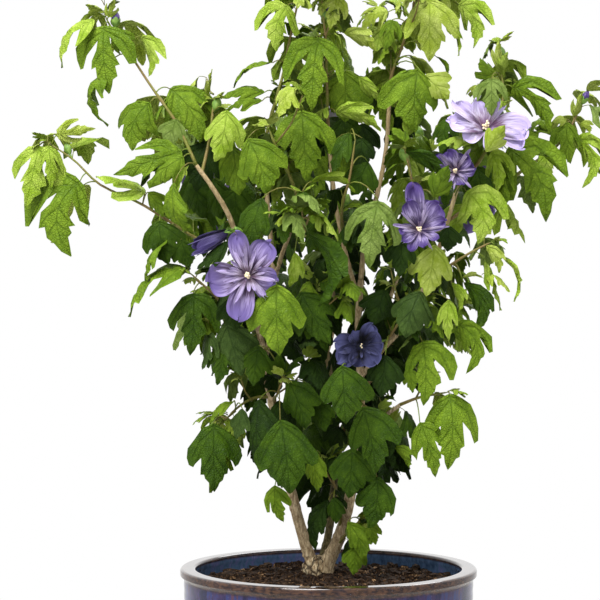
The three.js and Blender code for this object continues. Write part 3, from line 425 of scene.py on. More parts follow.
# The leaves that show most from the front, by the mass they belong to. Their places are given as
# they line up from the front on the pot's middle plane: the blade's foot (x, z), its tip (x, z) and
# its depth; how far its middle stands out to the left of its way, in shares of its length; the turn
# of its face from the front in degrees; how deeply it is cut; its width; its tone, where 2.1 and 2.6
# are the two dull ones
shownLeaves = {
    "spray_upper_left": [
        (-271, 934, -309, 878, -46, -0.24, 62, 0.9, 0.8, 0.72),
        (-260, 927, -254, 848, -52, -0.04, 8, 1, 1.05, 0.62),
        (-248, 923, -223, 891, -34, -0.1, 30, 0.3, 0.9, 0.6),
        (-217, 915, -209, 868, -42, 0.16, 40, 0.5, 0.8, 0.8),
        (-260, 876, -255, 811, -46, -0.32, 72, 0.8, 0.7, 0.6),
        (-207, 838, -227, 782, -50, -0.16, 15, 0.3, 1.15, 0.55),
        (-187, 842, -211, 807, -40, 0, 75, 0.3, 0.5, 0.62), (-255, 937, -248, 959, -42, 0, 10, 0.8, 0.9, 1)],
    "spray_far_left": [
        (-336, 788, -352, 716, -48, 0.02, 10, 1, 1, 0.82),
        (-325, 788, -322, 738, -58, 0.05, -15, 0.8, 0.75, 0.8),
        (-315, 800, -270, 808, -46, 0, 10, 0.9, 0.7, 0.9),
        (-288, 747, -298, 659, -50, -0.24, 0, 0.95, 1, 0.62),
        (-212, 734, -270, 752, -46, -0.06, 55, 0.9, 0.8, 0.75),
        (-209, 734, -192, 705, -52, 0.05, 15, 0.3, 1, 0.55)],
    "mass_left_top": [
        (-184, 854, -148, 791, -40, 0.12, -10, 0.55, 1, 0.5),
        (-118, 829, -132, 769, -62, 0.05, 5, 0.3, 1, 0.85),
        (-176, 819, -188, 789, -55, 0, 12, 0.1, 1.3, 2.6),
        (-140, 846, -135, 877, -36, 0, 60, 0.4, 0.5, 0.95),
        (-135, 795, -154, 734, -30, 0, 0, 0.2, 1.1, 0.25), (-111, 788, -103, 730, -40, 0, 0, 0.2, 1.1, 0.5)],
    "mass_mid_left": [
        (-170, 782, -250, 754, -60, 0, 12, 0.9, 0.75, 0.58),
        (-168, 775, -206, 740, -66, -0.08, 20, 0.4, 0.9, 0.5),
        (-196, 701, -186, 650, -60, -0.05, 5, 0.25, 1.25, 0.42),
        (-179, 745, -155, 686, -95, -0.2, 50, 0.2, 0.7, 0.6),
        (-171, 679, -161, 646, -60, 0, 0, 0.1, 1.2, 0.35)],
    "spray_tall_left": [
        (-47, 951, -60, 897, -8, -0.12, 5, 1, 1.15, 0.7), (-65, 884, -110, 855, 4, -0.2, 78, 0.4, 0.5, 0.6),
        (-74, 850, -125, 842, 0, -0.12, 40, 0.3, 0.6, 0.6),
        (-77, 840, -119, 827, -6, -0.15, 50, 0.3, 0.6, 0.5)],
    "mass_centre_left": [
        (-94, 796, -72, 732, -84, 0.06, 5, 0.05, 1.1, 0.62),
        (-77, 727, -92, 666, -96, -0.04, 25, 0.2, 0.8, 0.45)],
    "mass_mid_top": [
        (-11, 914, -19, 828, -52, -0.03, 3, 1, 1, 0.66), (11, 962, 1, 922, -36, 0, 10, 0.7, 1, 0.92),
        (20, 875, 19, 815, -20, 0, 0, 0.1, 1.3, 0.55), (-31, 829, -25, 746, -60, 0, -5, 0.6, 1.05, 0.6),
        (8, 827, 61, 805, -40, 0.08, 45, 0.3, 0.6, 0.8), (35, 869, 66, 836, -30, -0.05, 50, 0.2, 0.6, 0.86),
        (18, 919, 55, 898, -30, 0.08, 40, 0.1, 0.7, 1), (-19, 746, 31, 733, -80, 0.2, 70, 0.2, 0.6, 0.74)],
    "mass_tall_right": [
        (69, 943, 39, 918, -10, -0.2, 20, 0.9, 1, 0.95), (74, 934, 66, 897, -16, 0, 10, 0.8, 0.8, 0.62),
        (117, 959, 117, 885, -26, 0, 3, 0.6, 1.05, 0.88),
        (151, 952, 168, 901, -10, 0.2, 35, 0.7, 0.85, 0.8),
        (134, 938, 151, 892, -14, 0.12, 75, 0.1, 0.4, 0.85),
        (104, 877, 100, 803, -40, -0.03, -12, 0.35, 1.15, 0.66),
        (111, 869, 140, 842, -36, 0, 5, 0.1, 1.2, 0.95), (124, 892, 133, 861, -20, 0.25, 80, 0.1, 0.4, 0.6)],
    "mass_right_top": [
        (198, 876, 198, 911, -32, 0, 40, 0.3, 0.7, 0.95), (194, 871, 176, 890, -38, 0.1, 20, 0.3, 1.1, 0.5),
        (200, 873, 208, 897, -34, 0, 30, 0.3, 0.9, 0.75), (189, 866, 189, 822, -84, 0, 10, 0.9, 1.1, 2.6),
        (213, 856, 257, 801, -30, 0.15, 30, 1, 0.8, 0.5), (207, 784, 252, 699, -40, 0.16, 5, 1, 0.95, 0.55),
        (189, 781, 194, 733, -52, 0.1, 30, 0.8, 0.9, 0.7),
        (199, 771, 208, 711, -46, -0.05, 50, 0.6, 0.7, 0.6),
        (183, 781, 205, 812, -112, 0, 10, 0.1, 0.9, 0.95),
        (173, 793, 126, 788, -70, -0.14, 60, 0.1, 0.6, 0.8),
        (141, 820, 131, 776, -50, -0.1, 35, 0.6, 0.9, 0.3)],
    "spray_far_right": [
        (285, 822, 295, 851, 10, 0, 30, 0.6, 0.7, 1), (277, 815, 281, 767, 4, -0.06, 5, 0.5, 0.9, 0.58),
        (288, 797, 294, 739, 8, 0.28, 40, 1, 0.7, 0.75), (292, 813, 303, 802, 6, 0.2, 20, 0.3, 1, 0.92),
        (276, 818, 260, 815, 6, -0.1, 30, 0.3, 1, 0.92)],
    "mass_right_inner": [
        (89, 781, 140, 738, -92, 0.12, 50, 0.2, 0.45, 0.35),
        (122, 728, 140, 766, -100, 0, 20, 0.2, 0.9, 0.6), (46, 769, 27, 730, -60, 0, 5, 0.1, 1.1, 0.35),
        (85, 679, 83, 635, -84, 0, 5, 0.3, 1, 0.2)],
    "mass_centre": [
        (58, 724, 47, 645, -104, -0.03, 3, 0.85, 1.05, 2.6),
        (25, 803, 4, 752, -70, -0.08, 35, 0.3, 0.6, 0.45), (39, 797, 37, 760, -45, 0, 0, 0.1, 1.3, 0.15),
        (-26, 688, -12, 601, -112, 0.24, 60, 0.2, 0.5, 0.48)],
    "mass_right_mid": [
        (123, 673, 113, 613, -88, 0.02, 3, 0.25, 1.1, 0.88),
        (157, 629, 170, 571, -72, 0.22, 35, 0.2, 0.55, 0.45),
        (149, 582, 159, 523, -72, 0.3, 25, 0.6, 0.6, 0.55),
        (140, 609, 140, 561, -84, -0.05, 15, 0.5, 0.6, 0.75),
        (143, 628, 151, 595, -78, 0.15, 55, 0.3, 0.7, 0.68),
        (183, 672, 198, 640, -74, 0.1, 30, 0.2, 0.6, 0.9),
        (196, 662, 215, 607, -72, 0.25, 80, 0.1, 0.3, 0.75),
        (155, 634, 180, 634, -76, 0.15, 65, 0.2, 0.5, 0.92),
        (160, 735, 173, 673, -60, 0.2, 10, 0.7, 1.1, 0.7), (139, 695, 138, 665, -66, 0, 5, 0.05, 1.2, 0.25)],
    "mass_right_low_inner": [
        (107, 619, 89, 565, -92, -0.05, 5, 0.05, 1.25, 2.1),
        (109, 561, 110, 486, -70, 0.04, 15, 0.85, 0.95, 0.55),
        (93, 530, 98, 501, -66, 0, 15, 0.3, 0.9, 0.5), (66, 545, 61, 496, -80, 0, 0, 0.1, 1.1, 0.2),
        (66, 621, 51, 580, -70, 0, 0, 0.05, 1.3, 0.15)],
    "mass_low_right": [
        (140, 500, 138, 412, -70, 0.05, 5, 0.6, 0.9, 0.6),
        (106, 467, 124, 403, -64, 0.04, 10, 0.6, 0.8, 0.55),
        (76, 440, 94, 413, -60, 0.05, 50, 0.2, 0.8, 0.52)],
    "mass_left_mid": [
        (-187, 679, -210, 624, -66, -0.18, 80, 0.3, 0.6, 0.6),
        (-166, 647, -231, 589, -60, -0.2, 70, 0.8, 0.8, 0.66),
        (-157, 617, -161, 544, -58, 0.04, 8, 0.8, 1, 0.42),
        (-140, 572, -147, 528, -50, 0.05, 50, 0.6, 0.9, 2.1),
        (-119, 559, -129, 510, -56, 0, 15, 0.5, 0.9, 0.45)],
    "mass_flower_left": [
        (-119, 583, -100, 521, -60, 0, 10, 0.1, 1.1, 2.1),
        (-117, 677, -153, 645, -108, 0, 45, 0.2, 0.7, 0.25),
        (-112, 614, -107, 574, -70, 0, 5, 0.1, 1.3, 0.15)],
    "mass_centre_low": [
        (-60, 627, -57, 544, -126, -0.02, 5, 0.3, 1.05, 0.56), (-33, 618, 2, 557, -92, 0, 5, 0.3, 1, 0.45),
        (-39, 664, -46, 624, -70, 0.05, 25, 0.1, 0.65, 0.74),
        (-81, 556, -88, 509, -72, 0, 5, 0.2, 1.1, 0.42)],
    "mass_foot_left": [
        (-80, 494, -81, 412, -64, -0.05, 40, 0.1, 0.9, 0.2),
        (-56, 470, -45, 384, -84, 0.02, 3, 0.05, 1.05, 0.3),
        (-62, 394, -52, 351, -60, -0.1, 20, 0.5, 0.9, 0.6),
        (-47, 516, -27, 459, -70, 0.05, 10, 0.1, 0.95, 0.35)],
    "mass_low_left": [
        (-133, 466, -132, 386, -52, 0, -6, 0.4, 0.95, 0.44),
        (-110, 491, -137, 465, -44, -0.2, 65, 0.3, 0.6, 0.5),
        (-100, 483, -108, 447, -58, 0, 30, 0.1, 0.9, 2.1)],
    "mass_foot_right": [
        (16, 533, 20, 465, -110, 0, 3, 0.15, 1.15, 0.4), (28, 437, 24, 379, -62, 0, 5, 0.1, 1.2, 0.42),
        (56, 404, 46, 344, -60, 0.08, 10, 0.1, 0.95, 0.3),
        (39, 485, 55, 407, -76, 0.03, 10, 0.3, 0.95, 0.36), (64, 470, 71, 426, -60, 0, 5, 0.2, 1.1, 0.2),
        (-12, 493, -4, 456, -50, 0, 5, 0.1, 1.2, 0.3)],
    "mass_back_left": [
        (-161, 758, -149, 704, 50, 0.05, 5, 0.1, 1.2, 0.4),
        (-132, 750, -123, 702, 44, -0.05, 5, 0.1, 1.2, 0.3),
        (-108, 740, -107, 690, 36, 0, 5, 0.3, 1.2, 0.35)],
    "mass_back_top": [
        (17, 822, 23, 774, 80, 0, 5, 0.2, 1.1, 0.3), (39, 814, 42, 768, 80, 0.05, 5, 0.2, 1.1, 0.25)],
    "mass_back_right": [
        (173, 764, 180, 712, 66, 0, 5, 0.2, 1.2, 0.3)],
    "spray_foot": [
        (-15, 433, -12, 386, -46, -0.05, 15, 0.1, 0.7, 0.5),
        (0, 377, -14, 316, -34, -0.2, 40, 0.1, 0.5, 0.2), (6, 380, 9, 349, -40, 0, 5, 0.05, 0.9, 0.3)],
    "spray_sucker": [
        (22, 351, 39, 306, -42, 0.12, 5, 0.05, 0.75, 0.62), (33, 326, 29, 290, -36, 0, 0, 0.1, 1, 0.55),
        (47, 349, 55, 325, -46, 0, 10, 0.3, 1, 0.5)],
}
# Where the crown is open to the sky, as it lines up from the front: x, z and the gap's radius
skyGaps = [
    (-129, 876, 22), (-77, 864, 17), (-82, 827, 8), (-27, 934, 14), (44, 885, 9), (64, 954, 8),
    (217, 899, 15), (164, 899, 13), (-207, 855, 11), (-230, 725, 14), (-232, 696, 13), (-184, 626, 17),
    (-166, 609, 10), (-265, 830, 22), (-346, 830, 22), (143, 539, 20), (129, 510, 12), (205, 684, 13),
    (211, 644, 11), (271, 725, 20), (286, 868, 10), (-33, 377, 9), (66, 385, 10), (-150, 500, 20),
    (-100, 370, 30), (-215, 650, 12), (-240, 790, 12), (-160, 900, 20), (-90, 930, 20), (230, 760, 9),
    (170, 490, 16), (190, 560, 14), (-277, 945, 14), (6, 314, 12), (-252, 684, 20), (158, 512, 12),
    (-228, 862, 13), (-345, 798, 10), (128, 905, 9), (178, 868, 7), (135, 465, 8)
]


# The point at a depth that lines up, seen from the front, with a place on the pot's middle plane
def fromFront(x, z, depth):
    flat = np.stack([x, np.zeros_like(x), z], axis=-1)
    return eye + (flat - eye) * ((depth - eye[1]) / -eye[1])[..., None]


def onMiddlePlane(points):
    return eye + (points - eye) * (-eye[1] / (points[..., 1:2] - eye[1]))


shownColumns = ("footX", "footZ", "tipX", "tipZ", "depth", "aside", "turn", "cut", "width", "tone")
shown = dict(zip(shownColumns, np.array([row for rows in shownLeaves.values() for row in rows], float).T))
shownFoot = fromFront(shown["footX"], shown["footZ"], shown["depth"])
shownTip = fromFront(shown["tipX"], shown["tipZ"], shown["depth"] - 4)


# A shown leaf's midrib: a parabola from its foot to its tip that stands out sideways and to the
# front at its middle. Its face is square to the midrib and turned about it.
def shownStations():
    run = shownTip - shownFoot
    length = np.linalg.norm(run, axis=1)[:, None]
    sideways = unit(np.cross(run, [0.0, 1.0, 0.0]))
    middle = (shownFoot + shownTip) / 2 + sideways * length * shown["aside"][:, None] * 2
    middle[:, 1] -= 0.22 * length[:, 0]
    s = (np.arange(rule["steps"] + 1) / rule["steps"])[None, :, None]
    place = shownFoot[:, None] * (1 - s) ** 2 + middle[:, None] * 2 * s * (1 - s) + shownTip[:, None] * s**2
    along = unit(np.gradient(place, axis=1))
    front = np.array([0.0, -1.0, 0.0])
    out = turned(unit(front - along * dot(along, front)), along, np.radians(shown["turn"])[:, None])
    return (place, np.cross(along, out), out), np.linalg.norm(np.diff(place, axis=1), axis=2).sum(1)


shownWays, shownLength = shownStations()

# Points spread over each shown blade
sides = np.array([-1, 0, 1])[None, None, :, None]
halfWidths = np.array([0.2, 0.3, 0.3, 0.2, 0.16, 0.08])[None, :, None, None]
shownPoints = (shownWays[0][:, 1::2, None] + shownWays[1][:, 1::2, None] * sides * halfWidths
               * (shownLength * shown["width"])[:, None, None, None]).reshape(-1, 3)
shownFlat = onMiddlePlane(shownPoints)
gapPlaces = np.array(skyGaps, float)
clearOfShown = 6.5  # how far a leaf in front of a shown one stays from it, as seen from the front


# Whether a leaf would meet or hide one of the shown leaves, or lie before a gap
def spoilsFront(points):
    flat = onMiddlePlane(points)
    aside = np.linalg.norm(flat[:, None, [0, 2]] - shownFlat[None][:, :, [0, 2]], axis=2)
    before = points[:, None, 1] < shownPoints[:, 1] + 5
    if np.any((aside < clearOfShown) & before):
        return True
    fromGap = np.linalg.norm(flat[:, None, [0, 2]] - gapPlaces[:, :2], axis=2)
    return bool(np.any(fromGap < gapPlaces[:, 2]))


# Turns a leaf a little further and shortens it at each try, until it keeps to its mass's space,
# touches nothing and stands off the leaves placed before it.
def placeLeaf(mass, leaf, radial, along, spread=rule["spread"], gap=rule["leafGap"], tries=rule["tries"]):
    for attempt in range(tries):
        swing = math.ceil(attempt / 2) * rule["swing"] * (1 if attempt % 2 else -1)
        aim = unit(turned(radial, along, swing) * spread[0] + along * spread[1] + up * spread[2])
        tried = dict(leaf, aim=aim, hang=leaf["hang"] * (1 + rule["steeper"] * (attempt % 5)),
                     length=leaf["length"] * (1 - rule["shorter"] * attempt))
        samples = samplesOf(simpleBlade(tried))
        if (inOwnSpace(mass, samples, rule["spaceMargin"]) and not touchesLimb(samples, rule["limbMargin"])
                and not hidesFlower(samples) and not meetsTwig(mass, samples, gap)
                and not meetsLeaf(mass, samples, gap) and not spoilsFront(samples)):
            mass["samples"].append(samples)
            return tried
    return None


# A leaf at a share of a way, turned about the way by an angle. Its shift takes it from the straight
# stretch that it is tested on to the curve.
def growLeaf(mass, course, t, angle, leaf, *how):
    along = headingAt(course["points"], t)[0]
    foot = placeOn(course, t)
    placed = placeLeaf(mass, dict(leaf, foot=foot, t=t), aroundWay(along, angle), along, *how)
    if placed:
        placed["shift"] = curveAt(course["points"], t)[0] - foot
    return placed


# Leaves spaced along a shoot, each turned on from the last and smaller towards the tip.
def leavesAlong(mass, shoot, key):
    grown = []
    length = shoot["course"]["length"]
    count = max(1, math.floor((length - shoot["bare"]) / mass["spacing"]))
    for i in range(count + 1):
        t = shoot["bare"] / length * (1 - i / count) + i / count
        angle = mass["turn"] + key + i * goldenTurn + 0.5 * (chance(key * 31 + i) - 0.5)
        age = 1 - 0.42 * (i / count) ** 1.6
        grown.append(growLeaf(mass, shoot["course"], t, angle, {
            "length": mass["leaf"] * age * (0.86 + 0.3 * chance(key * 17 + i + 0.5)),
            "hang": mass["hang"] * (0.75 + 0.6 * chance(key * 7 + i + 0.25)),
            "roll": 0.9 * (chance(key * 5 + i + 0.75) - 0.5),
            "cut": mass["cut"], "young": i / count,
        }))
    return [leaf for leaf in grown if leaf]


# The shoots of a mass: its own stem, and side twigs set round it that curve upwards.
def shootsOf(mass):
    shoots = [{"course": mass["course"], "radii": rule["stemRadii"], "bare": mass["bare"]}]
    for j in range(mass["twigs"]):
        t = rule["twigsFrom"] + rule["twigsOver"] * (j + 0.5) / mass["twigs"]
        start = placeOn(mass["course"], t)
        along = headingAt(mass["course"]["points"], t)[0]
        aim = unit(aroundWay(along, mass["turn"] + rule["twigTurn"] + j * goldenTurn)
                   + along * rule["twigForward"])
        for share in (1, 0.75, 0.5):
            length = mass["twigLength"] * share * (0.85 + 0.3 * chance(mass["turn"] * 9 + j))
            end = start + aim * length * 0.93 + up * length * rule["twigRise"]
            course = courseThrough([start, start + aim * length * 0.55, end], rule["twigStep"])
            passed = np.array([placeOn(course, s) for s in (0.3, 0.5, 0.75, 1)])
            if inOwnSpace(mass, passed, 3) and not touchesLimb(passed, 3) and not hidesFlower(passed):
                shoots.append({"course": course, "radii": rule["twigRadii"], "bare": rule["twigBare"]})
                break
    return shoots


# A stalk from the nearest point of a mass's own stem to the back of a flower.
def stalkTo(mass, flower):
    at = np.array(flower["at"], float)
    back = at - unit(np.array(flower["facing"], float)) * 0.16 * flower["across"]
    starts = np.array([placeOn(mass["course"], share) for share in np.arange(6, 21) / 20])
    start = starts[np.argmin(np.linalg.norm(starts - back, axis=1))]
    return courseThrough([start, start * 0.5 + back * 0.5 - up * 6, at], rule["twigStep"])


# What grows beyond the solids' own leaves: small leaves at every tip, between the large ones
# and on short spurs.
extra = {
    "tipLeaves": 3, "tipLength": (0.46, 0.36, 0.27), "tipSpread": (0.5, 0.85, 0.25), "tipHang": 0.5,
    "tipGap": 2.5, "betweenLength": 0.5, "betweenGap": 4.5, "spurEvery": 3, "spurLength": 24,
    "spurLeaf": 0.42, "spurSpread": (0.7, 0.6, 0.2), "spurGap": 3.5, "smallest": 17, "tries": 8,
}
# Leaves are darker near the crown's axis, as painted shade, and lighter near its top, as painted light.
shade = {"reach": 120, "depth": 0.42, "high": 0.15, "highFrom": 740, "highOver": 200}


# The sprays that stand alone carry few leaves besides their large ones.
def isSpray(mass):
    return mass["name"].startswith("spray_far") or mass["name"] == "spray_upper_left"


# Small leaves beside the large ones, at the tip and between them, each tested as they are.
def smallLeavesAlong(mass, shoot, leaves, key):
    small = []
    for i in range(extra["tipLeaves"] - isSpray(mass)):
        small.append((1.0, mass["turn"] + key * 2.1 + i * goldenTurn, mass["leaf"] * extra["tipLength"][i],
                      mass["hang"] * extra["tipHang"] * (1 - 0.3 * i), extra["tipSpread"],
                      extra["tipGap"], 0.95))
    between = [] if isSpray(mass) else zip(leaves, leaves[1:])
    for i, (before, after) in enumerate(between):
        length = mass["leaf"] * extra["betweenLength"] * (0.7 + 0.5 * chance(key + i * 7.7))
        small.append((0.5 * (before["t"] + after["t"]), mass["turn"] + key * 3.3 + i * 2.2, length,
                      mass["hang"] * 0.8, rule["spread"], extra["betweenGap"], 0.6))
    grown = [growLeaf(mass, shoot["course"], t, angle, {
        "length": max(length, extra["smallest"]), "hang": hang, "cut": max(0.0, mass["cut"] - 0.15),
        "roll": 1.1 * (chance(key * 11 + i) - 0.5), "young": young,
    }, spread, gap, extra["tries"]) for i, (t, angle, length, hang, spread, gap, young) in enumerate(small)]
    return [leaf for leaf in grown if leaf]


# A short spur in the angle of every few leaves, with two small leaves of its own.
def spursOf(mass, shoot, leaves, key):
    spurs = []
    for i, leaf in enumerate(leaves[:-1]):
        if (i + int(key * 3)) % extra["spurEvery"]:
            continue
        along = headingAt(shoot["course"]["points"], leaf["t"])[0]
        aim = unit(leaf["aim"] * 0.5 + along * 0.6 + up * 0.35)
        start = leaf["foot"] + leaf["shift"]
        length = extra["spurLength"] * (0.75 + 0.5 * chance(key * 13 + i))
        points = [start, start + aim * length * 0.5, start + aim * length * 0.9 + up * length * 0.2]
        course = courseThrough(points, rule["twigStep"])
        passed = np.array([placeOn(course, s) for s in (0.5, 1)])
        if not inOwnSpace(mass, passed, 2) or touchesLimb(passed, 2.5) or hidesFlower(passed):
            continue
        heading = headingAt(course["points"], 1)[0]
        grown = []
        for k in range(2):
            t, radial = 1 - 0.2 * k, aroundWay(heading, key + i + k * goldenTurn)
            grown.append(placeLeaf(mass, {
                "foot": placeOn(course, t), "hang": mass["hang"] * 0.7, "roll": 0.2,
                "length": max(extra["smallest"], mass["leaf"] * extra["spurLeaf"] * (1 - 0.25 * k)),
                "cut": max(0.0, mass["cut"] - 0.2), "t": t, "young": 0.8, "shift": np.zeros(3),
            }, radial, heading, extra["spurSpread"], extra["spurGap"], extra["tries"]))
        grown = [small for small in grown if small]
        if grown:
            spurs.append({"course": course, "radii": rule["spurRadii"], "leaves": grown})
    return spurs


leaves, shoots, buds = [], [], []
mainCount = 0
# A shoot's key starts its own chances, and each leaf adds its number to it.
for number, mass in enumerate(masses):
    own = shootsOf(mass)
    mass["wood"] = stretchesOf([shoot["course"]["places"] for shoot in own]
                               + [stalkTo(mass, flower)["places"] for flower in mass["flowers"]])
    for j, shoot in enumerate(own):
        shoot["key"] = number * 3.7 + j * 1.9
        shoot["leaves"] = leavesAlong(mass, shoot, shoot["key"])
        mainCount += len(shoot["leaves"])
    for j, shoot in enumerate(own):
        key = shoot["key"]
        grown = list(shoot["leaves"])
        top = placeOn(shoot["course"], 1)[2]
        if len(grown) > 1 and top > rule["budsAbove"] - (0 if j == 0 else 30) and (j == 0 or j % 2):
            bearer = grown[-2]
            heading = headingAt(shoot["course"]["points"], 0.9)[0]
            aim = unit(bearer["aim"] * 0.4 + heading * 0.6 + up * 0.3)
            buds.append({"foot": bearer["foot"] + bearer["shift"], "aim": aim, "key": key,
                         "coloured": chance(key * 2.3) > 0.55})
        grown += smallLeavesAlong(mass, shoot, shoot["leaves"], key)
        for spur in [] if isSpray(mass) else spursOf(mass, shoot, shoot["leaves"], key):
            shoots.append(spur)
            grown += spur["leaves"]
        for i, leaf in enumerate(grown):
            inner = 1 - min(1.0, math.hypot(leaf["foot"][0] - 10, leaf["foot"][1] - 10) / shade["reach"])
            high = min(max((leaf["foot"][2] - shade["highFrom"]) / shade["highOver"], 0), 1)
            # Painted shade darkens the tone near the crown's axis and painted light lightens it near its top.
            leaf["tone"] = (mass["tone"] + 0.2 * leaf["young"] ** 2 - shade["depth"] * inner
                            + shade["high"] * high + 0.3 * (chance(key * 19 + i) - 0.5))
            leaf["key"] = key + i * 0.37
        leaves += grown
        shoots.append(shoot)

# Leaves straight on the stems and boughs fill the crown's dark inside; their low tone is painted shade.
inside = {
    "every": 11, "above": 405, "length": (62, 40), "hang": 2.0, "spread": (0.9, 0.3, 0.15), "gap": 3.5,
    # The low tone is painted shade for the crown's inside.
    "tries": 10, "tone": 0.12,
}
for number, limb in enumerate(limbs):
    course = limbCourses[limb["name"]]
    count = math.floor(course["length"] / inside["every"])
    for i in range(count):
        t = (i + 0.5) / count
        at = placeOn(course, t)
        if at[2] < inside["above"]:
            continue
        mass = masses[int(np.argmin([distances(at[None], *near["own"]).min() for near in masses]))]
        key = 200.3 + number * 5.1 + i * 0.77
        leaf = growLeaf(mass, course, t, number * 2.3 + i * goldenTurn, {
            "cut": mass["cut"] * 0.7, "roll": chance(key) - 0.5, "hang": inside["hang"], "key": key,
            "length": inside["length"][0] - inside["length"][1] * chance(key + 2.2) ** 2,
            "tone": inside["tone"] + 0.3 * chance(key + 1.1),
        }, inside["spread"], inside["gap"], inside["tries"])
        if leaf:
            leaves.append(leaf)
print("rule grown:", mainCount, "leaves as in the solids,", len(leaves), "in all,", len(shoots), "shoots")


# Puts whole arrays into a mesh. A face is a row of point numbers, with -1 last for a triangle.
def putMesh(name, finish, points, faces, mapping=None, veins=None, smooth=True):
    loops = faces[faces >= 0]
    totals = np.sum(faces >= 0, axis=1)
    mesh = bpy.data.meshes.new(name)
    mesh.vertices.add(len(points))
    mesh.vertices.foreach_set("co", (points * 0.001).ravel())
    mesh.loops.add(len(loops))
    mesh.loops.foreach_set("vertex_index", loops.astype(np.int32))
    mesh.polygons.add(len(faces))
    mesh.polygons.foreach_set("loop_start", np.concatenate([[0], np.cumsum(totals)[:-1]]).astype(np.int32))
    mesh.polygons.foreach_set("loop_total", totals.astype(np.int32))
    mesh.polygons.foreach_set("use_smooth", np.full(len(faces), smooth))
    for layer, values in (("OFBake", mapping), ("veins", veins)):
        if values is not None:
            uv = mesh.uv_layers.new(name=layer)
            uv.data.foreach_set("uv", values[loops].ravel())
    mesh.update(calc_edges=True)
    mesh.validate()
    mesh.materials.append(finish)
    piece = bpy.data.objects.new(name, mesh)
    bpy.context.scene.collection.objects.link(piece)
    return piece


# Several surfaces as one. Each is its points, its faces and whatever else its points have.
def joined(parts):
    starts = np.cumsum([0] + [len(part[0]) for part in parts])
    faces = [np.where(part[1] < 0, -1, part[1] + start) for part, start in zip(parts, starts)]
    return [np.vstack(faces if c == 1 else [part[c] for part in parts]) for c in range(len(parts[0]))]


# Makes a piece from surfaces, with its body, its material slot and the solids that it stands for.
def addPiece(name, finish, parts, nodes=(), smooth=True):
    piece = putMesh(name, finish, *joined(parts), smooth=smooth)
    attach(piece, "root")
    if nodes:
        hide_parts(*nodes)


# Angles round a circle
def circle(sides):
    return 2 * np.pi * np.arange(sides) / sides


# Directions square to an axis, or to each of many, at the given angles round it
def spokes(axis, angles):
    first = acrossOf(axis)[0]
    second = np.cross(axis, first)
    return first[..., None, :] * np.cos(angles)[:, None] + second[..., None, :] * np.sin(angles)[:, None]


# The faces of a grid of points, rows by columns. A closed one joins its last column to its first.
def gridFaces(rows, columns, closed=False):
    i, k = np.meshgrid(np.arange(rows - 1), np.arange(columns - (not closed)), indexing="ij")
    a = i * columns + k
    b = i * columns + (k + 1) % columns
    return np.stack([a, b, b + columns, a + columns], axis=-1).reshape(-1, 4)


# Fans that close a grid's first and last rows onto two more points, the last but one and the last
def capFaces(rows, sides):
    k = np.arange(sides)
    after = (k + 1) % sides
    size, end = rows * sides, (rows - 1) * sides
    none = np.full(sides, -1)
    return np.vstack([np.stack([np.full(sides, size), after, k, none], axis=1),
                      np.stack([np.full(sides, size + 1), end + k, end + after, none], axis=1)])


# The same faces for each of many copies that lie one after another.
def copiesOf(faces, copies, size):
    many = faces[None] + np.arange(copies)[:, None, None] * size
    return np.where(faces[None] < 0, -1, many).reshape(-1, faces.shape[1])


# Round tubes along many ways at once: a circle of each place's radius, square to the way there.
# ways is tubes by places by 3, and radii is tubes by places, or by places by sides.
def tubes(ways, radii, sides):
    ways, radii = np.asarray(ways, float), np.asarray(radii, float)
    count, places = ways.shape[:2]
    if radii.ndim == 2:
        radii = radii[..., None]
    ring = spokes(unit(np.gradient(ways, axis=1)), circle(sides))
    wall = (ways[:, :, None] + ring * radii[..., None]).reshape(count, places * sides, 3)
    points = np.concatenate([wall, ways[:, :1], ways[:, -1:]], axis=1)
    faces = np.vstack([gridFaces(places, sides, closed=True), capFaces(places, sides)])
    return points.reshape(-1, 3), copiesOf(faces, count, places * sides + 2)


# Smooth unevenness from -1 to 1: a sum of waves that run in different directions.
def unevenness(points, length, key, waves=7):
    total = np.zeros(points.shape[:-1])
    for i in range(waves):
        direction = unit(np.array([chance(key + i * 3.1 + k) - 0.5 for k in (0.1, 0.2, 0.3)]))
        speed = 2 * np.pi / length * (0.6 + 1.1 * chance(key + i * 5.3))
        total += np.sin(points @ direction * speed + 6.28 * chance(key + i * 7.9))
    return total / (0.7 * waves)


# A leaf's outline on one side, in shares of its length: how far along, how far out, and from
# how far along the midrib the line to that point starts. One for a broad leaf, one for a
# deeply cut one, and every leaf lies between them.
leafShape = {
    "broad": np.array([
        (0, 0.012, 0), (0.045, 0.09, 0.01), (0.13, 0.19, 0.02), (0.25, 0.3, 0.03), (0.37, 0.375, 0.04),
        (0.49, 0.405, 0.05), (0.625, 0.385, 0.065), (0.675, 0.335, 0.09), (0.67, 0.285, 0.13),
        (0.665, 0.243, 0.2), (0.725, 0.246, 0.29), (0.775, 0.226, 0.37), (0.812, 0.192, 0.44),
        (0.825, 0.154, 0.51), (0.885, 0.128, 0.61), (0.915, 0.084, 0.71), (0.965, 0.046, 0.83),
        (1, 0.003, 0.99)]),
    "cut": np.array([
        (0, 0.012, 0), (0.005, 0.07, 0.01), (0.025, 0.185, 0.02), (0.105, 0.31, 0.03), (0.25, 0.4, 0.04),
        (0.42, 0.43, 0.05), (0.605, 0.39, 0.06), (0.6, 0.325, 0.075), (0.39, 0.26, 0.1),
        (0.2, 0.09, 0.155), (0.36, 0.11, 0.24), (0.5, 0.18, 0.31), (0.605, 0.205, 0.38),
        (0.62, 0.135, 0.46), (0.75, 0.145, 0.57), (0.79, 0.085, 0.67), (0.9, 0.06, 0.8),
        (1, 0.003, 0.99)]),
    "veinRows": (0, 3, 6, 12, 14, 17),
    "across": np.array([-1, -0.5, 0, 0.5, 1]),
    "arch": (0.25, 0.95),  # how far the side lobes bend down on their way out
    "uneven": 0.05,
    "puff": 0.024,  # how far the blade swells between its veins
    "fold": (0.05, 0.3),
    "curl": 0.12,
    "wave": 0.026,
    "lopsided": 0.24,
}


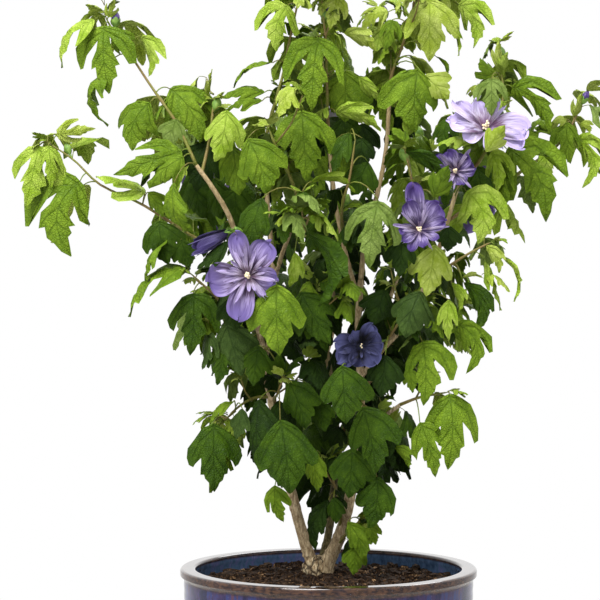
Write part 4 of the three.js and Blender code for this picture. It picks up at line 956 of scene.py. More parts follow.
# Blades for many leaves. A row of points runs from the midrib along each vein, and between two
# veins, to the outline; at the side lobes it goes out first and then bends down. The halves
# fold down from the midrib, the lobes' ends curl under, and the blade swells between its veins.
def leafBlades(stations, length, width, cut, key):
    rows = len(leafShape["broad"])
    row = np.arange(rows)
    share = np.clip(cut, 0, 1)[:, None, None]
    shape = (leafShape["broad"] * (1 - share) + leafShape["cut"] * share)[:, :, None]
    t = leafShape["across"]
    out = np.abs(t)
    key = key[:, None, None]
    ragged = key * 3.3 + row[:, None] * 2.7 + (t < 0) * 5.1
    onVein = np.isin(row, leafShape["veinRows"])[:, None]
    ends = np.minimum(1, np.minimum(row, rows - 1 - row) / 2)[:, None]
    edgeAlong = shape[..., 0] + leafShape["uneven"] * ends * (chance(ragged) - 0.5)
    edgeOut = shape[..., 1] * (1 + 3 * leafShape["uneven"] * ends * (chance(ragged + 0.7) - 0.5))
    lopsided = leafShape["lopsided"] * (chance(key * 2.1) - 0.5)
    edgeOut = edgeOut * (1 + lopsided * np.sign(t)) * width[:, None, None]
    few, many = leafShape["arch"]
    bend = (few + (many - few) * share) * np.clip(1 - np.abs(row - 5.5) / 5, 0, 1)[:, None]
    along = np.maximum(shape[..., 2] + (edgeAlong - shape[..., 2]) * out ** (1 + bend), 0)
    sideways = edgeOut * np.sign(t) * out ** (1 - 0.4 * bend)
    q = np.abs(sideways) / rule["lobeReach"]
    low, high = leafShape["fold"]
    fold = low + (high - low) * chance(key * 4.7) ** 2.5
    swell = leafShape["puff"] * np.where(onVein, -0.5, 1) * np.where(out == 0.5, 1, 0)
    wave = leafShape["wave"] * np.sin(row[:, None] * 1.3 + 6.3 * chance(key * 1.3) + t * 1.9) * out**2
    lift = swell + wave - fold * q**1.4 - leafShape["curl"] * (q * along) ** 1.5 * 2 - 0.012 * (out == 0)
    lift = lift * np.minimum(1, along * 8 + 0.15)
    count = len(length)
    points = bladePoint(stations, length, np.clip(along, 0, 1).reshape(count, -1),
                        (sideways * (1 - 0.35 * fold * q)).reshape(count, -1), lift.reshape(count, -1))
    mapping = np.stack([0.5 + sideways, 0.01 + 0.98 * along], axis=-1)
    onRow = np.interp(row, leafShape["veinRows"], np.linspace(0, 1, len(leafShape["veinRows"])))
    vein = np.stack(np.broadcast_arrays(onRow[None, :, None], 0.5 + t / 2), axis=-1)
    vein = np.broadcast_to(vein, mapping.shape)
    faces = copiesOf(gridFaces(rows, len(t)), count, rows * len(t))
    return points.reshape(-1, 3), faces, mapping.reshape(-1, 2), vein.reshape(-1, 2)


def column(items, name):
    return np.array([item[name] for item in items], float)


# A colour given as a screen shows it, from 0 to 255, as the light that the shader wants
def paint(red, green, blue):
    return tuple(((c / 255 + 0.055) / 1.055) ** 2.4 if c > 10 else c / 255 / 12.92 for c in (red, green, blue))


# Shaders. A wire is one socket, and Python's own signs on it add Math nodes.
class Wire:
    def __init__(self, shader, socket):
        self.shader = shader
        self.socket = socket

    def math(self, operation, *values):
        return self.shader.node("ShaderNodeMath", {"operation": operation}, dict(enumerate(values)))[0]

    # From 0 to 1 as the value goes from low to high, with soft ends
    def rise(self, low, high):
        return self.shader.node("ShaderNodeMapRange", {"interpolation_type": "SMOOTHSTEP"},
                                {"Value": self, "From Min": low, "From Max": high})["Result"]


def mathMethod(operation, turnedRound=False):
    def method(self, *others):
        return self.math(operation, *((*others, self) if turnedRound else (self, *others)))
    return method


for sign, operation in (("add", "ADD"), ("sub", "SUBTRACT"), ("mul", "MULTIPLY"), ("pow", "POWER")):
    setattr(Wire, f"__{sign}__", mathMethod(operation))
    setattr(Wire, f"__r{sign}__", mathMethod(operation, True))
for word, operation in (("least", "MINIMUM"), ("most", "MAXIMUM"), ("size", "ABSOLUTE"), ("fraction", "FRACT")):
    setattr(Wire, word, mathMethod(operation))


# A node's outputs as wires
class Outputs:
    def __init__(self, shader, made):
        self.shader = shader
        self.made = made

    def __getitem__(self, name):
        return Wire(self.shader, self.made.outputs[name])


# A material's node tree. node() takes a node's type, its settings and its sockets' values, with
# colours as a screen shows them.
class Finish:
    def __init__(self, name):
        self.material = bpy.data.materials.new(name)
        self.material.use_nodes = True
        self.tree = self.material.node_tree
        self.tree.nodes.clear()

    def node(self, kind, settings=None, inputs=None):
        made = self.tree.nodes.new(kind)
        for name, value in (settings or {}).items():
            setattr(made, name, value)
        for name, value in (inputs or {}).items():
            socket = made.inputs[name]
            if isinstance(value, Wire):
                self.tree.links.new(value.socket, socket)
            elif socket.type == "RGBA":
                socket.default_value = (*paint(*value), 1)
            else:
                socket.default_value = value
        return Outputs(self, made)

    def place(self):
        return self.node("ShaderNodeTexCoord")["Object"]

    def mapped(self, layer):
        return self.node("ShaderNodeUVMap", {"uv_map": layer})["UV"]

    def split(self, vector):
        parts = self.node("ShaderNodeSeparateXYZ", None, {"Vector": vector})
        return [parts[axis] for axis in "XYZ"]

    def stretched(self, vector, scale):
        return self.node("ShaderNodeMapping", None, {"Vector": vector, "Scale": scale})[0]

    def noise(self, vector, scale, detail=3.0, roughness=0.55, distortion=0.0):
        return self.node("ShaderNodeTexNoise", None, {
            "Vector": vector, "Scale": scale, "Detail": detail, "Roughness": roughness,
            "Distortion": distortion})[0]

    def cells(self, vector, scale, feature="DISTANCE_TO_EDGE"):
        return self.node("ShaderNodeTexVoronoi", {"feature": feature}, {
            "Vector": vector, "Scale": scale})["Distance"]

    def blend(self, share, first, second):
        return self.node("ShaderNodeMix", {"data_type": "RGBA"}, {0: share, 6: first, 7: second})[2]

    # Colours at their places along a value
    def ramp(self, value, *stops):
        made = self.node("ShaderNodeValToRGB", None, {"Fac": value})
        elements = made.made.color_ramp.elements
        while len(elements) < len(stops):
            elements.new(1)
        for element, (place, colour) in zip(elements, stops):
            element.position = place
            element.color = (*paint(*colour), 1)
        return made[0]

    # The shader itself. Values that are the same everywhere go straight on its own sockets.
    def surface(self, colour, roughness, bumpHeight=None, bumpDistance=0.001, bumpStrength=0.8, **fixed):
        inputs = {"Base Color": colour, "Roughness": roughness}
        if bumpHeight is not None:
            inputs["Normal"] = self.node("ShaderNodeBump", None, {
                "Height": bumpHeight, "Distance": bumpDistance, "Strength": bumpStrength})["Normal"]
        inputs.update({name.replace("_", " "): value for name, value in fixed.items()})
        shader = self.node("ShaderNodeBsdfPrincipled", None, inputs)
        self.node("ShaderNodeOutputMaterial", None, {"Surface": shader[0]})
        return self.material


# Leaf: veins darker than the blade as painted shade in their grooves, a fine net between them that swells and
# is darker along its sunken lines as painted shade, and paler patches
leafLook = {
    "veinWidth": 0.07, "netScale": 26.0, "netDepth": 0.0015,
    # Each tone's blade, its paler patches, and the darker colour painted as shade in the veins and the net's
    # grooves
    "tones": (
        ("leaves_darkest", (22, 42, 3), (38, 60, 6), (12, 28, 2)),
        ("leaves_dark", (40, 64, 4), (60, 86, 8), (24, 44, 3)),
        ("leaves_mid", (80, 106, 16), (110, 136, 32), (50, 72, 9)),
        ("leaves_light", (122, 150, 34), (158, 178, 76), (82, 108, 18)),
        ("leaves_young", (138, 158, 46), (174, 188, 96), (102, 124, 28)),
        ("leaves_dull_dark", (46, 66, 22), (66, 88, 36), (30, 48, 16)),
        ("leaves_dull", (90, 112, 40), (124, 144, 72), (62, 82, 26)),
    ),
    "dullShare": 0.26,
}


# Which tone's piece a leaf belongs to: five from dark to young by its tone, and a duller,
# greyer one for some of the leaves between
def tonePiece(tone, key, dullShare):
    plain = np.clip(np.floor(tone * 5.2 - 0.5), 0, 4).astype(int)
    dull = (chance(key + 9.9) < dullShare) & (plain > 0) & (plain < 4)
    grown = np.where(dull, np.where(plain > 1, 6, 5), plain)
    return np.where(tone >= 2.5, 6, np.where(tone >= 2, 5, grown))  # a shown leaf's 2.1 and 2.6


def leafFinish(name, blade, patch, vein):
    finish = Finish(name)
    row, side, _ = finish.split(finish.mapped("veins"))
    away = (side - 0.5).size() * 2
    step = (row * (len(leafShape["veinRows"]) - 1)).fraction()
    nearVein = step.least(1 - step) * (away + 0.25)
    main = (1 - nearVein.rise(0.004, leafLook["veinWidth"])) * (1 - away.rise(0.75, 1.0))
    midrib = 1 - away.rise(0.015, 0.07)
    veins = main.most(midrib)
    edge = finish.cells(finish.mapped("OFBake"), leafLook["netScale"])
    puffed = edge.rise(0.0, 0.22)
    mottle = finish.noise(finish.place(), 42.0, 3.0).rise(0.36, 0.66)
    spots = finish.noise(finish.mapped("OFBake"), 9.0, 3.0).rise(0.42, 0.7)
    colour = finish.blend((mottle * 0.6 + spots * 0.5).least(1.0), blade, patch)
    # The net's sunken lines and the veins are darkened towards the vein colour: painted shade in the grooves.
    colour = finish.blend((1 - puffed) * 0.2, colour, vein)
    colour = finish.blend(veins * 0.45, colour, vein)
    height = puffed * 0.5 + (1 - veins) * 0.6
    return finish.surface(colour, 0.46 + 0.16 * mottle, height, leafLook["netDepth"], Specular_IOR_Level=0.11)


# Petal: dark wine-red at its base, run out in streaks, then pale violet to a bluer edge
petalLook = {
    "streaks": (15.0, 2.2, 1.0),  # how narrow they are across, along and through
    "tints": {
        "petals_pale": ((226, 218, 240), (178, 164, 210), (92, 36, 84)),
        "petals_soft": ((206, 194, 222), (150, 134, 180), (66, 22, 54)),
        "petals_violet": ((164, 150, 190), (98, 84, 138), (46, 12, 36)),
        # A bluer violet whose spread from pale blade to dark rim is partly its own colour, partly painted shade
        # in its crumples
        "petals_blue": ((184, 170, 212), (70, 54, 110), (30, 12, 38)),
        "petals_dusk": ((128, 120, 168), (76, 66, 116), (26, 20, 46)),
        # Near black, for the withering flower low in the crown: partly its own deep violet, partly painted
        # shade
        "petals_deep": ((4, 4, 18), (72, 74, 114), (0, 0, 2)),
    },
}


def petalFinish(name, blade, rim, base):
    finish = Finish(name)
    across, along, _ = finish.split(finish.mapped("OFBake"))
    streak = finish.noise(finish.stretched(finish.mapped("OFBake"), petalLook["streaks"]), 1.0, 2.0)
    reach = along + 0.6 * (streak - 0.5)
    colour = finish.blend(reach.rise(0.3, 0.95), blade, rim)
    colour = finish.blend(0.9 * (1 - reach.rise(0.18, 0.62)), colour, base)
    colour = finish.blend(0.8 * streak.rise(0.47, 0.58) * (1 - along.rise(0.4, 0.9)), colour, base)
    cloud = finish.noise(finish.place(), 75.0, 3.0).rise(0.38, 0.66)
    # Cloudy patches of the rim colour: partly the petal's own mottling, partly painted shade in its crumples.
    colour = finish.blend(cloud * 0.4, colour, rim)
    height = streak + (across - 0.5).size() * 0.4
    shine = min(0.3, sum(paint(*rim)) / 3)  # a dark petal has less of it
    return finish.surface(colour, 0.5 + 0.12 * cloud, height, 0.0015, Sheen_Weight=shine, Sheen_Roughness=0.4,
                          Specular_IOR_Level=shine)


def plainPlantFinish(name, first, second, scale=180.0, roughness=0.5):
    finish = Finish(name)
    grain = finish.noise(finish.place(), scale, 3.0).rise(0.35, 0.68)
    fine = finish.noise(finish.place(), scale * 4, 2.0)
    return finish.surface(finish.blend(grain, first, second), roughness + 0.1 * grain, grain + 0.5 * fine,
                          0.0002, Specular_IOR_Level=0.35)


# Bark: each kind's furrows and ridges, its cracks' colour, share, scale and width
barkLook = {
    "bark_rough": ((148, 124, 90), (222, 202, 164), (80, 60, 42), 0.35, 230, 0.11),
    # A darker, greener copy of the bark for the stem at the back: partly its own greener bark, partly painted
    # shade
    "bark_shaded": ((62, 58, 34), (112, 102, 66), (40, 34, 22), 0.3, 230, 0.11),
    "bark_crown": ((152, 122, 84), (240, 222, 182), (44, 30, 20), 0.92, 150, 0.2),
}


# Pale ridges with furrows along the limb and dark cracks, greyer and browner on the upper limbs
def barkFinish(name):
    furrow, ridge, crack, crackShare, crackScale, crackWidth = barkLook[name]
    finish = Finish(name)
    place = finish.place()
    height = finish.split(place)[2]
    long = finish.stretched(place, (1.0, 1.0, 0.22))
    ridges = finish.noise(long, 420.0, 4.0, 0.62, 0.6)
    flakes = finish.cells(finish.stretched(place, (1.0, 1.0, 0.45)), crackScale)
    cracks = 1 - flakes.rise(0.0, crackWidth)
    patches = finish.noise(place, 60.0, 3.0).rise(0.38, 0.66)
    specks = finish.noise(place, 900.0, 2.0).rise(0.58, 0.72)
    colour = finish.blend(ridges.rise(0.34, 0.64), furrow, ridge)
    colour = finish.blend(patches * 0.4, colour, furrow)
    colour = finish.blend(crackShare * cracks, colour, crack)
    colour = finish.blend(0.6 * specks, colour, crack)
    colour = finish.blend(0.55 * height.rise(0.42, 0.72), colour, (150, 130, 88))
    return finish.surface(colour, 0.78 + 0.14 * ridges, ridges * 0.8 - cracks * 0.4 + 0.2 * specks, 0.0009,
                          Specular_IOR_Level=0.25)


# Twig: green and smooth where young, brown with pale pores lower down
def twigFinish(name, green, brown):
    finish = Finish(name)
    place = finish.place()
    patches = finish.noise(place, 46.0, 3.0).rise(0.38, 0.62)
    pores = finish.cells(place, 520.0, "F1").rise(0.16, 0.3)
    colour = finish.blend(patches, green, brown)
    colour = finish.blend((1 - pores) * 0.35, colour, (186, 172, 130))
    return finish.surface(colour, 0.55 + 0.12 * patches, finish.noise(place, 800.0, 2.0), 0.0003, 0.5,
                          Specular_IOR_Level=0.3)


# Glaze: deep blue and violet that pool and run down the wall, broken to iron brown on the rim
glazeLook = {
    "runs": 26.0, "breakFrom": 0.284, "breakTo": 0.289,
    "outer": ((0.0, (12, 14, 34)), (0.36, (26, 28, 62)), (0.5, (54, 40, 74)), (0.62, (32, 48, 96)),
              (0.8, (72, 46, 60)), (1.0, (48, 66, 112))),
    # The inside's glaze is paler than the outside's: partly its own glaze, partly painted light on the shaded
    # inner wall
    "inner": ((0.0, (48, 66, 94)), (0.45, (80, 106, 138)), (0.7, (96, 100, 146)), (1.0, (132, 152, 176))),
}


def glazeFinish():
    finish = Finish("glaze_blue")
    place = finish.place()
    x, y, z = finish.split(place)
    radius = (x * x + y * y) ** 0.5
    down = finish.stretched(place, (1.0, 1.0, 0.12))
    runs = finish.noise(down, glazeLook["runs"], 4.0, 0.6, 0.35)
    fine = finish.noise(finish.stretched(place, (1.0, 1.0, 0.3)), 210.0, 3.0, 0.65)
    clouds = finish.noise(place, 11.0, 4.0, 0.6, 0.6)
    outer = finish.ramp((runs * 0.75 + fine * 0.25).rise(0.3, 0.72), *glazeLook["outer"])
    inner = finish.ramp((clouds * 0.6 + fine * 0.4).rise(0.3, 0.7), *glazeLook["inner"])
    inside = (1 - radius.rise(0.157, 0.158)) * z.rise(0.26, 0.262)
    colour = finish.blend(inside, outer, inner)
    wander = 0.0035 * (finish.noise(place, 34.0, 3.0) - 0.5)
    rim = (z + wander).rise(glazeLook["breakFrom"], glazeLook["breakTo"])
    rim = rim * (1 - inside) + (z + wander * 0.4).rise(0.2935, 0.2965) * inside
    rust = finish.noise(finish.stretched(place, (1.0, 1.0, 2.5)), 150.0, 4.0, 0.7).rise(0.36, 0.66)
    brown = finish.blend(rust, (24, 15, 11), (78, 54, 36))
    colour = finish.blend(rim * 0.94, colour, brown)
    red = runs.rise(0.6, 0.67) * (1 - rim) * (1 - inside)
    colour = finish.blend(0.5 * red, colour, (110, 52, 44))
    pits = 1 - finish.cells(place, 330.0, "F1").rise(0.05, 0.13)
    speck = finish.noise(place, 700.0, 2.0).rise(0.68, 0.76)
    colour = finish.blend(0.35 * speck, colour, (150, 150, 170))
    roughness = 0.05 + 0.05 * rust * rim + 0.12 * pits
    height = clouds * 0.5 + runs * 0.6 - 0.25 * pits
    flat = 0.1 + 0.9 * z.rise(0.2975, 0.2995)
    return finish.surface(colour, roughness, height, 0.0007, 0.4, Coat_Weight=flat, Coat_Roughness=0.03,
                          Specular_IOR_Level=0.25)


def soilFinish(name, dark, light, scale=260.0):
    finish = Finish(name)
    place = finish.place()
    lumps = finish.noise(place, scale, 5.0, 0.7)
    cells = finish.cells(place, scale * 0.9, "F1")
    colour = finish.blend(lumps.rise(0.42, 0.66), dark, light)
    # Darker towards (20, 12, 8) where the bump sinks between the clods: painted shade in the crevices
    colour = finish.blend(0.7 * cells.rise(0.3, 0.62), colour, (20, 12, 8))
    return finish.surface(colour, 0.86 + 0.1 * lumps, lumps - 0.6 * cells, 0.0022, 1.0, Specular_IOR_Level=0.2)


print("finishes ready")

# A shown leaf's petiole comes from the nearest place on a shoot or limb. A shoot ends at the last
# leaf on it, and one without any leaves is left out.
shoots = [shoot for shoot in shoots if shoot["leaves"]]
t = np.linspace(0, 1, 40)
wood = np.vstack([curveAt(course["points"], t)
                  for course in [*(shoot["course"] for shoot in shoots), *limbCourses.values()]])


# The number of the place on the wood that lies nearest to each of some points
def nearestWood(points):
    return np.argmin(np.linalg.norm(points[:, None] - wood, axis=2), axis=1)


shownWood = nearestWood(shownFoot)
shootEnd = np.array([max(leaf["t"] for leaf in shoot["leaves"]) for shoot in shoots])
for whose, place in zip(shownWood // len(t), t[shownWood % len(t)]):
    if whose < len(shoots):
        shootEnd[whose] = max(shootEnd[whose], place)

# Every shoot ends in a few young leaves.
tuft = {"leaves": 3, "length": (26, 15), "spread": 0.8, "tone": (0.72, 0.3)}
shortestShoot = 0.08  # the share of its way below which a shoot is left out
for number, (shoot, last) in enumerate(zip(shoots, shootEnd)):
    points = shoot["course"]["points"]
    at, along = curveAt(points, min(last + 0.01, 1))[0], headingAt(points, last)[0]
    if last < shortestShoot or spoilsFront(at[None]):
        continue
    for i in range(tuft["leaves"]):
        key = 500.1 + number * 3.7 + i
        leaves.append({
            "foot": at, "aim": unit(along + tuft["spread"] * aroundWay(along, number + i * 2.1)),
            "length": tuft["length"][0] - tuft["length"][1] * chance(key), "hang": 0.6, "cut": 0.3,
            "roll": 0.6 * chance(key + 1.7) - 0.3, "shift": np.zeros(3), "key": key,
            "tone": tuft["tone"][0] + tuft["tone"][1] * chance(key + 0.5)})
print("with tufts:", len(leaves), "leaves")

# Leaves, one piece for each tone. The masses that they stand for are shared out among the tones.
toneNames = [name for name, *_ in leafLook["tones"]]
toneOf = tonePiece(column(leaves, "tone"), column(leaves, "key"), leafLook["dullShare"])
shownKey = 300.7 + 1.37 * np.arange(len(shownFoot))
shownTone = tonePiece(shown["tone"], shownKey, 0)
for tone, (name, blade, patch, vein) in enumerate(leafLook["tones"]):
    some = [leaf for leaf, its in zip(leaves, toneOf) if its == tone]
    length, key = column(some, "length"), column(some, "key")
    stations = stationsOf(column(some, "foot") + column(some, "shift"), column(some, "aim"), length,
                          column(some, "hang"), column(some, "roll"))
    these = shownTone == tone
    grown = leafBlades(stations, length, 0.9 + 0.25 * chance(key), column(some, "cut"), key)
    front = leafBlades([part[these] for part in shownWays], shownLength[these], shown["width"][these],
                       shown["cut"][these], shownKey[these])
    nodes = [mass["name"] for mass in masses[tone::len(toneNames)]]
    finish = leafFinish(name.replace("leaves", "leaf"), blade, patch, vein)
    addPiece(name, finish, [grown, front], nodes)
    print(name, len(some) + int(these.sum()), "leaves,", len(grown[1]) + len(front[1]), "faces")

# Petioles arch from the shoot to the blade
petiole = {"places": 6, "sides": 5, "radii": (0.85, 0.6), "arch": 0.09, "shownArch": 0.22}
foot = column(leaves, "foot") + column(leaves, "shift")
reach = column(leaves, "length")[:, None] * rule["petiole"] * 1.06
s = np.linspace(0, 1, petiole["places"])
rise = (s * (1 - s) * 4)[:, None]
ways = (foot[:, None] + (column(leaves, "aim") * reach)[:, None] * s[:, None]
        + up * petiole["arch"] * reach[..., None] * rise)
thin = np.clip(column(leaves, "length") / 80, 0.55, 1.05)[:, None]
taper = np.interp(s, [0, 1], petiole["radii"])
starts = wood[shownWood]
run = (shownFoot - starts)[:, None]
arch = up * petiole["shownArch"] * np.linalg.norm(run, axis=2, keepdims=True) * rise
ways = np.concatenate([ways, starts[:, None] + run * s[:, None] + arch])
radii = np.concatenate([thin * taper, np.tile(taper, (len(starts), 1))])
addPiece("petioles", twigFinish("petiole_green", (96, 118, 22), (96, 92, 34)),
         [tubes(ways, radii, petiole["sides"])])

# Twigs: the masses' own stems, side twigs and spurs, swollen where each leaf leaves them
twig = {"places": 22, "sides": 7, "swelling": 0.35, "swellingLength": 2.6}
ways, radii = [], []
t = np.linspace(0, 1, twig["places"])
for shoot, last in zip(shoots, shootEnd):
    if last < shortestShoot:
        continue
    share = t * min(last + 0.01, 1)
    ways.append(curveAt(shoot["course"]["points"], share))
    away = (share[:, None] - column(shoot["leaves"], "t")) * shoot["course"]["length"]
    near = np.exp(-((away / twig["swellingLength"]) ** 2)).max(1) * (t < 0.98)
    slim = np.interp(t, [0, 0.93, 1], [1, 1, 0.4])
    radii.append(np.interp(share, [0, 1], shoot["radii"]) * slim * (1 + twig["swelling"] * near))
addPiece("twigs", twigFinish("twig_brown", (104, 108, 38), (112, 94, 52)),
         [tubes(ways, radii, twig["sides"])])
print("twigs and petioles done")


# A limb's bark: a tube whose radius tapers as the solid's does, swells at each old leaf scar and
# is broken into ridges that run along it.
def barkedLimb(limb, key):
    course = limbCourses[limb["name"]]
    rows = max(8, math.ceil(course["length"] / bark["rowLength"]))
    t = np.arange(rows + 1) / rows
    way = curveAt(course["points"], t)
    angle = circle(bark["sides"])
    ring = spokes(unit(np.gradient(way, axis=0)), angle)
    radius = limbRadius(limb, t)
    walked = t * course["length"]
    if limb["start"] is None:
        radius = radius * (1 + bark["flare"] * np.exp(-((walked / bark["flareLength"]) ** 2)))
    nodes = walked / bark["nodeEvery"] + chance(key)
    knot = np.exp(-(((nodes % 1 - 0.5) * bark["nodeEvery"] / bark["nodeLength"]) ** 2))[:, None]
    knot = knot * (0.45 + 0.55 * np.cos(angle - (np.floor(nodes) * goldenTurn)[:, None]))
    flat = way[:, None] * np.array([1, 1, 0.2]) + ring * 9
    relief = (bark["relief"] * unevenness(flat, bark["reliefLength"], key)
              + bark["fissure"] * unevenness(flat, bark["fissureLength"], key + 40))
    bend = bark["uneven"] * unevenness(way[:, None] + ring * 2, bark["unevenLength"], key + 9)
    radii = radius[:, None] * (1 + relief + bend + bark["nodeHeight"] * knot)
    return tubes(way[None], radii[None], bark["sides"])


parts = [barkedLimb(limb, 3.1 + i * 1.7) for i, limb in enumerate(limbs)]
barks = {name: barkFinish(name) for name in barkLook}
# The stem at the back takes the darker bark, partly painted shade.
for name, look, first, last in (("bark_stems", "bark_rough", 0, 2), ("bark_back", "bark_shaded", 2, 3),
                                ("bark_boughs", "bark_rough", 3, len(limbs))):
    addPiece(name, barks[look], parts[first:last], [limb["name"] for limb in limbs[first:last]])


# The trunk: a stack of uneven ovals from the soil to the fork, with roots standing out at its
# foot and knobs all over.
def trunkSurface(rows=34, sides=64):
    rings = np.array(trunk["rings"], float)
    z = np.linspace(rings[0, 0], rings[-1, 0], rows)
    halfX, halfY = (np.interp(z, rings[:, 0], rings[:, c])[:, None] for c in (1, 2))
    angle = circle(sides)
    low = 1 - z[:, None] / trunk["rootHeight"]
    root = 1 + trunk["rootDepth"] * low * np.sin(trunk["roots"] * angle + 0.7)
    ring = np.stack([halfX * root * np.cos(angle), halfY * root * np.sin(angle),
                     np.broadcast_to(z[:, None], (rows, sides))], axis=-1)
    out = unit(ring * np.array([1, 1, 0.0]) + np.array([0, 0, 1e-6]))
    knobs = (trunk["knobs"] * unevenness(ring, trunk["knobLength"], 5.5)
             + trunk["grain"] * unevenness(ring, trunk["grainLength"], 8.5))
    ring = ring + out * knobs[..., None] + np.array([trunk["x"], trunk["y"], soilTop + trunk["lift"]])
    points = np.vstack([ring.reshape(-1, 3), ring[0].mean(0), ring[-1].mean(0) + up * trunk["top"]])
    return points, np.vstack([gridFaces(rows, sides, closed=True), capFaces(rows, sides)])


addPiece("bark_trunk", barks["bark_crown"], [trunkSurface()], ["trunk"])
print("bark done")


# Petals and sepals, many at once. Each starts at a centre and runs outward, rising by its cup
# angle, which changes along it by its curl. It widens from a narrow base and ends round or
# pointed, with its edge ruffled and its middle hollow. A value may be the same for all of them.
def petalSurfaces(centre, outward, facing, length, width, cup, curl, ruffle, key, rows, columns, pointed=False):
    count = len(outward)
    centre, outward, facing = (np.broadcast_to(value, (count, 3))[:, None, None]
                               for value in (centre, outward, facing))
    length, width, cup, curl, ruffle, key = (np.broadcast_to(value, count)[:, None, None]
                                             for value in (length, width, cup, curl, ruffle, key))
    u = 1 - (1 - np.linspace(0, 1, rows)) ** 1.7
    v = np.linspace(-1, 1, columns)
    widest = 0.45 if pointed else 0.66
    rising = 0.34 + 0.66 * np.sin(np.pi / 2 * np.minimum(u / widest, 1)) ** 1.25
    beyond = np.clip((u - widest) / (1 - widest), 0, 1)
    closing = (1 - beyond) ** 0.8 if pointed else np.sqrt(np.maximum(1 - beyond**2.7, 0))
    half = np.maximum(rising * closing, 0.02)[None, :, None] * width / 2
    u, v = u[None, :, None], v[None, None, :]
    notches = 0.07 * np.sin(3.1 * v + 6.3 * chance(key)) + 0.03 * np.sin(9.3 * v + 6.3 * chance(key + 0.4))
    reach = length * (u + notches * u**2)
    angle = cup + curl * (u - 0.3)
    wave = ruffle * length * u**1.5 * (
        np.sin(6.1 * v + 2.2 * u + 6.3 * chance(key + 1.3)) * np.abs(v)
        + 0.5 * np.sin(11 * v + 6.3 * chance(key + 2.9)) * v**2
        + 0.42 * np.sin(15 * v + 3 * u + 6.3 * chance(key + 3.3)) * (1 - 0.5 * u)
        + 0.5 * np.sin(7.5 * u + 2 * v + 6.3 * chance(key + 5.1)) * u)
    lean = (chance(key + 4.4) - 0.5) * 0.7 * v * half
    hollow = 0.34 * half * (v**2 - 0.3)
    points = (centre + outward * (reach * np.cos(angle))[..., None]
              + facing * (reach * np.sin(angle) + wave + lean + hollow)[..., None]
              + np.cross(outward, facing) * (half * v)[..., None])
    mapping = np.stack(np.broadcast_arrays(0.5 + 0.48 * v, 0.01 + 0.98 * u), axis=-1)
    mapping = np.broadcast_to(mapping, (count, rows, columns, 2))
    faces = copiesOf(gridFaces(rows, columns), count, rows * columns)
    return points.reshape(-1, 3), faces, mapping.reshape(-1, 2)


# Small round bodies: a grid of rings from pole to pole about each centre
def beads(centres, radii, rows=5, sides=6):
    polar = np.linspace(0.12, np.pi - 0.12, rows)[:, None]
    angle = circle(sides)[None]
    shape = np.stack([np.sin(polar) * np.cos(angle), np.sin(polar) * np.sin(angle),
                      -np.cos(polar) * np.ones_like(angle)], axis=-1).reshape(-1, 3)
    shape = np.vstack([shape, [0, 0, -1], [0, 0, 1]])
    faces = np.vstack([gridFaces(rows, sides, closed=True), capFaces(rows, sides)])
    points = centres[:, None] + shape * radii[:, None, None]
    return points.reshape(-1, 3), copiesOf(faces, len(centres), len(shape))


# A flower's parts in shares of its width, and its petals' lengths and widths in shares of their
# reach. Each grid is one petal's rows and columns of points. The stalk's bend and radii are lengths,
# the radii with how far along the stalk they lie.
flowerShape = {
    "petals": 5, "petalWidth": 0.76, "petalStart": 0.03, "petalGrid": (16, 15), "ruffle": 0.045,
    "reach": (0.5, 0.53), "inner": 15, "innerLength": (0.36, 0.8), "innerWidth": 0.085,
    "innerStart": 0.02, "innerRuffle": 0.07, "innerGrid": (8, 5),
    "anthers": 16, "antherSize": 0.015, "antherOut": 0.032, "antherUp": (0.05, 0.1),
    "sepals": (5, 0.24, 0.13), "bracts": (7, 0.17, 0.028),  # number, length and width
    "baseBack": 0.1, "calyxBack": 0.07, "calyxGrid": (7, 5),
    "stalkBend": 14, "stalkRadii": ((0, 1.1), (0.6, 1.2), (0.88, 2.8), (1, 3.4)),
}
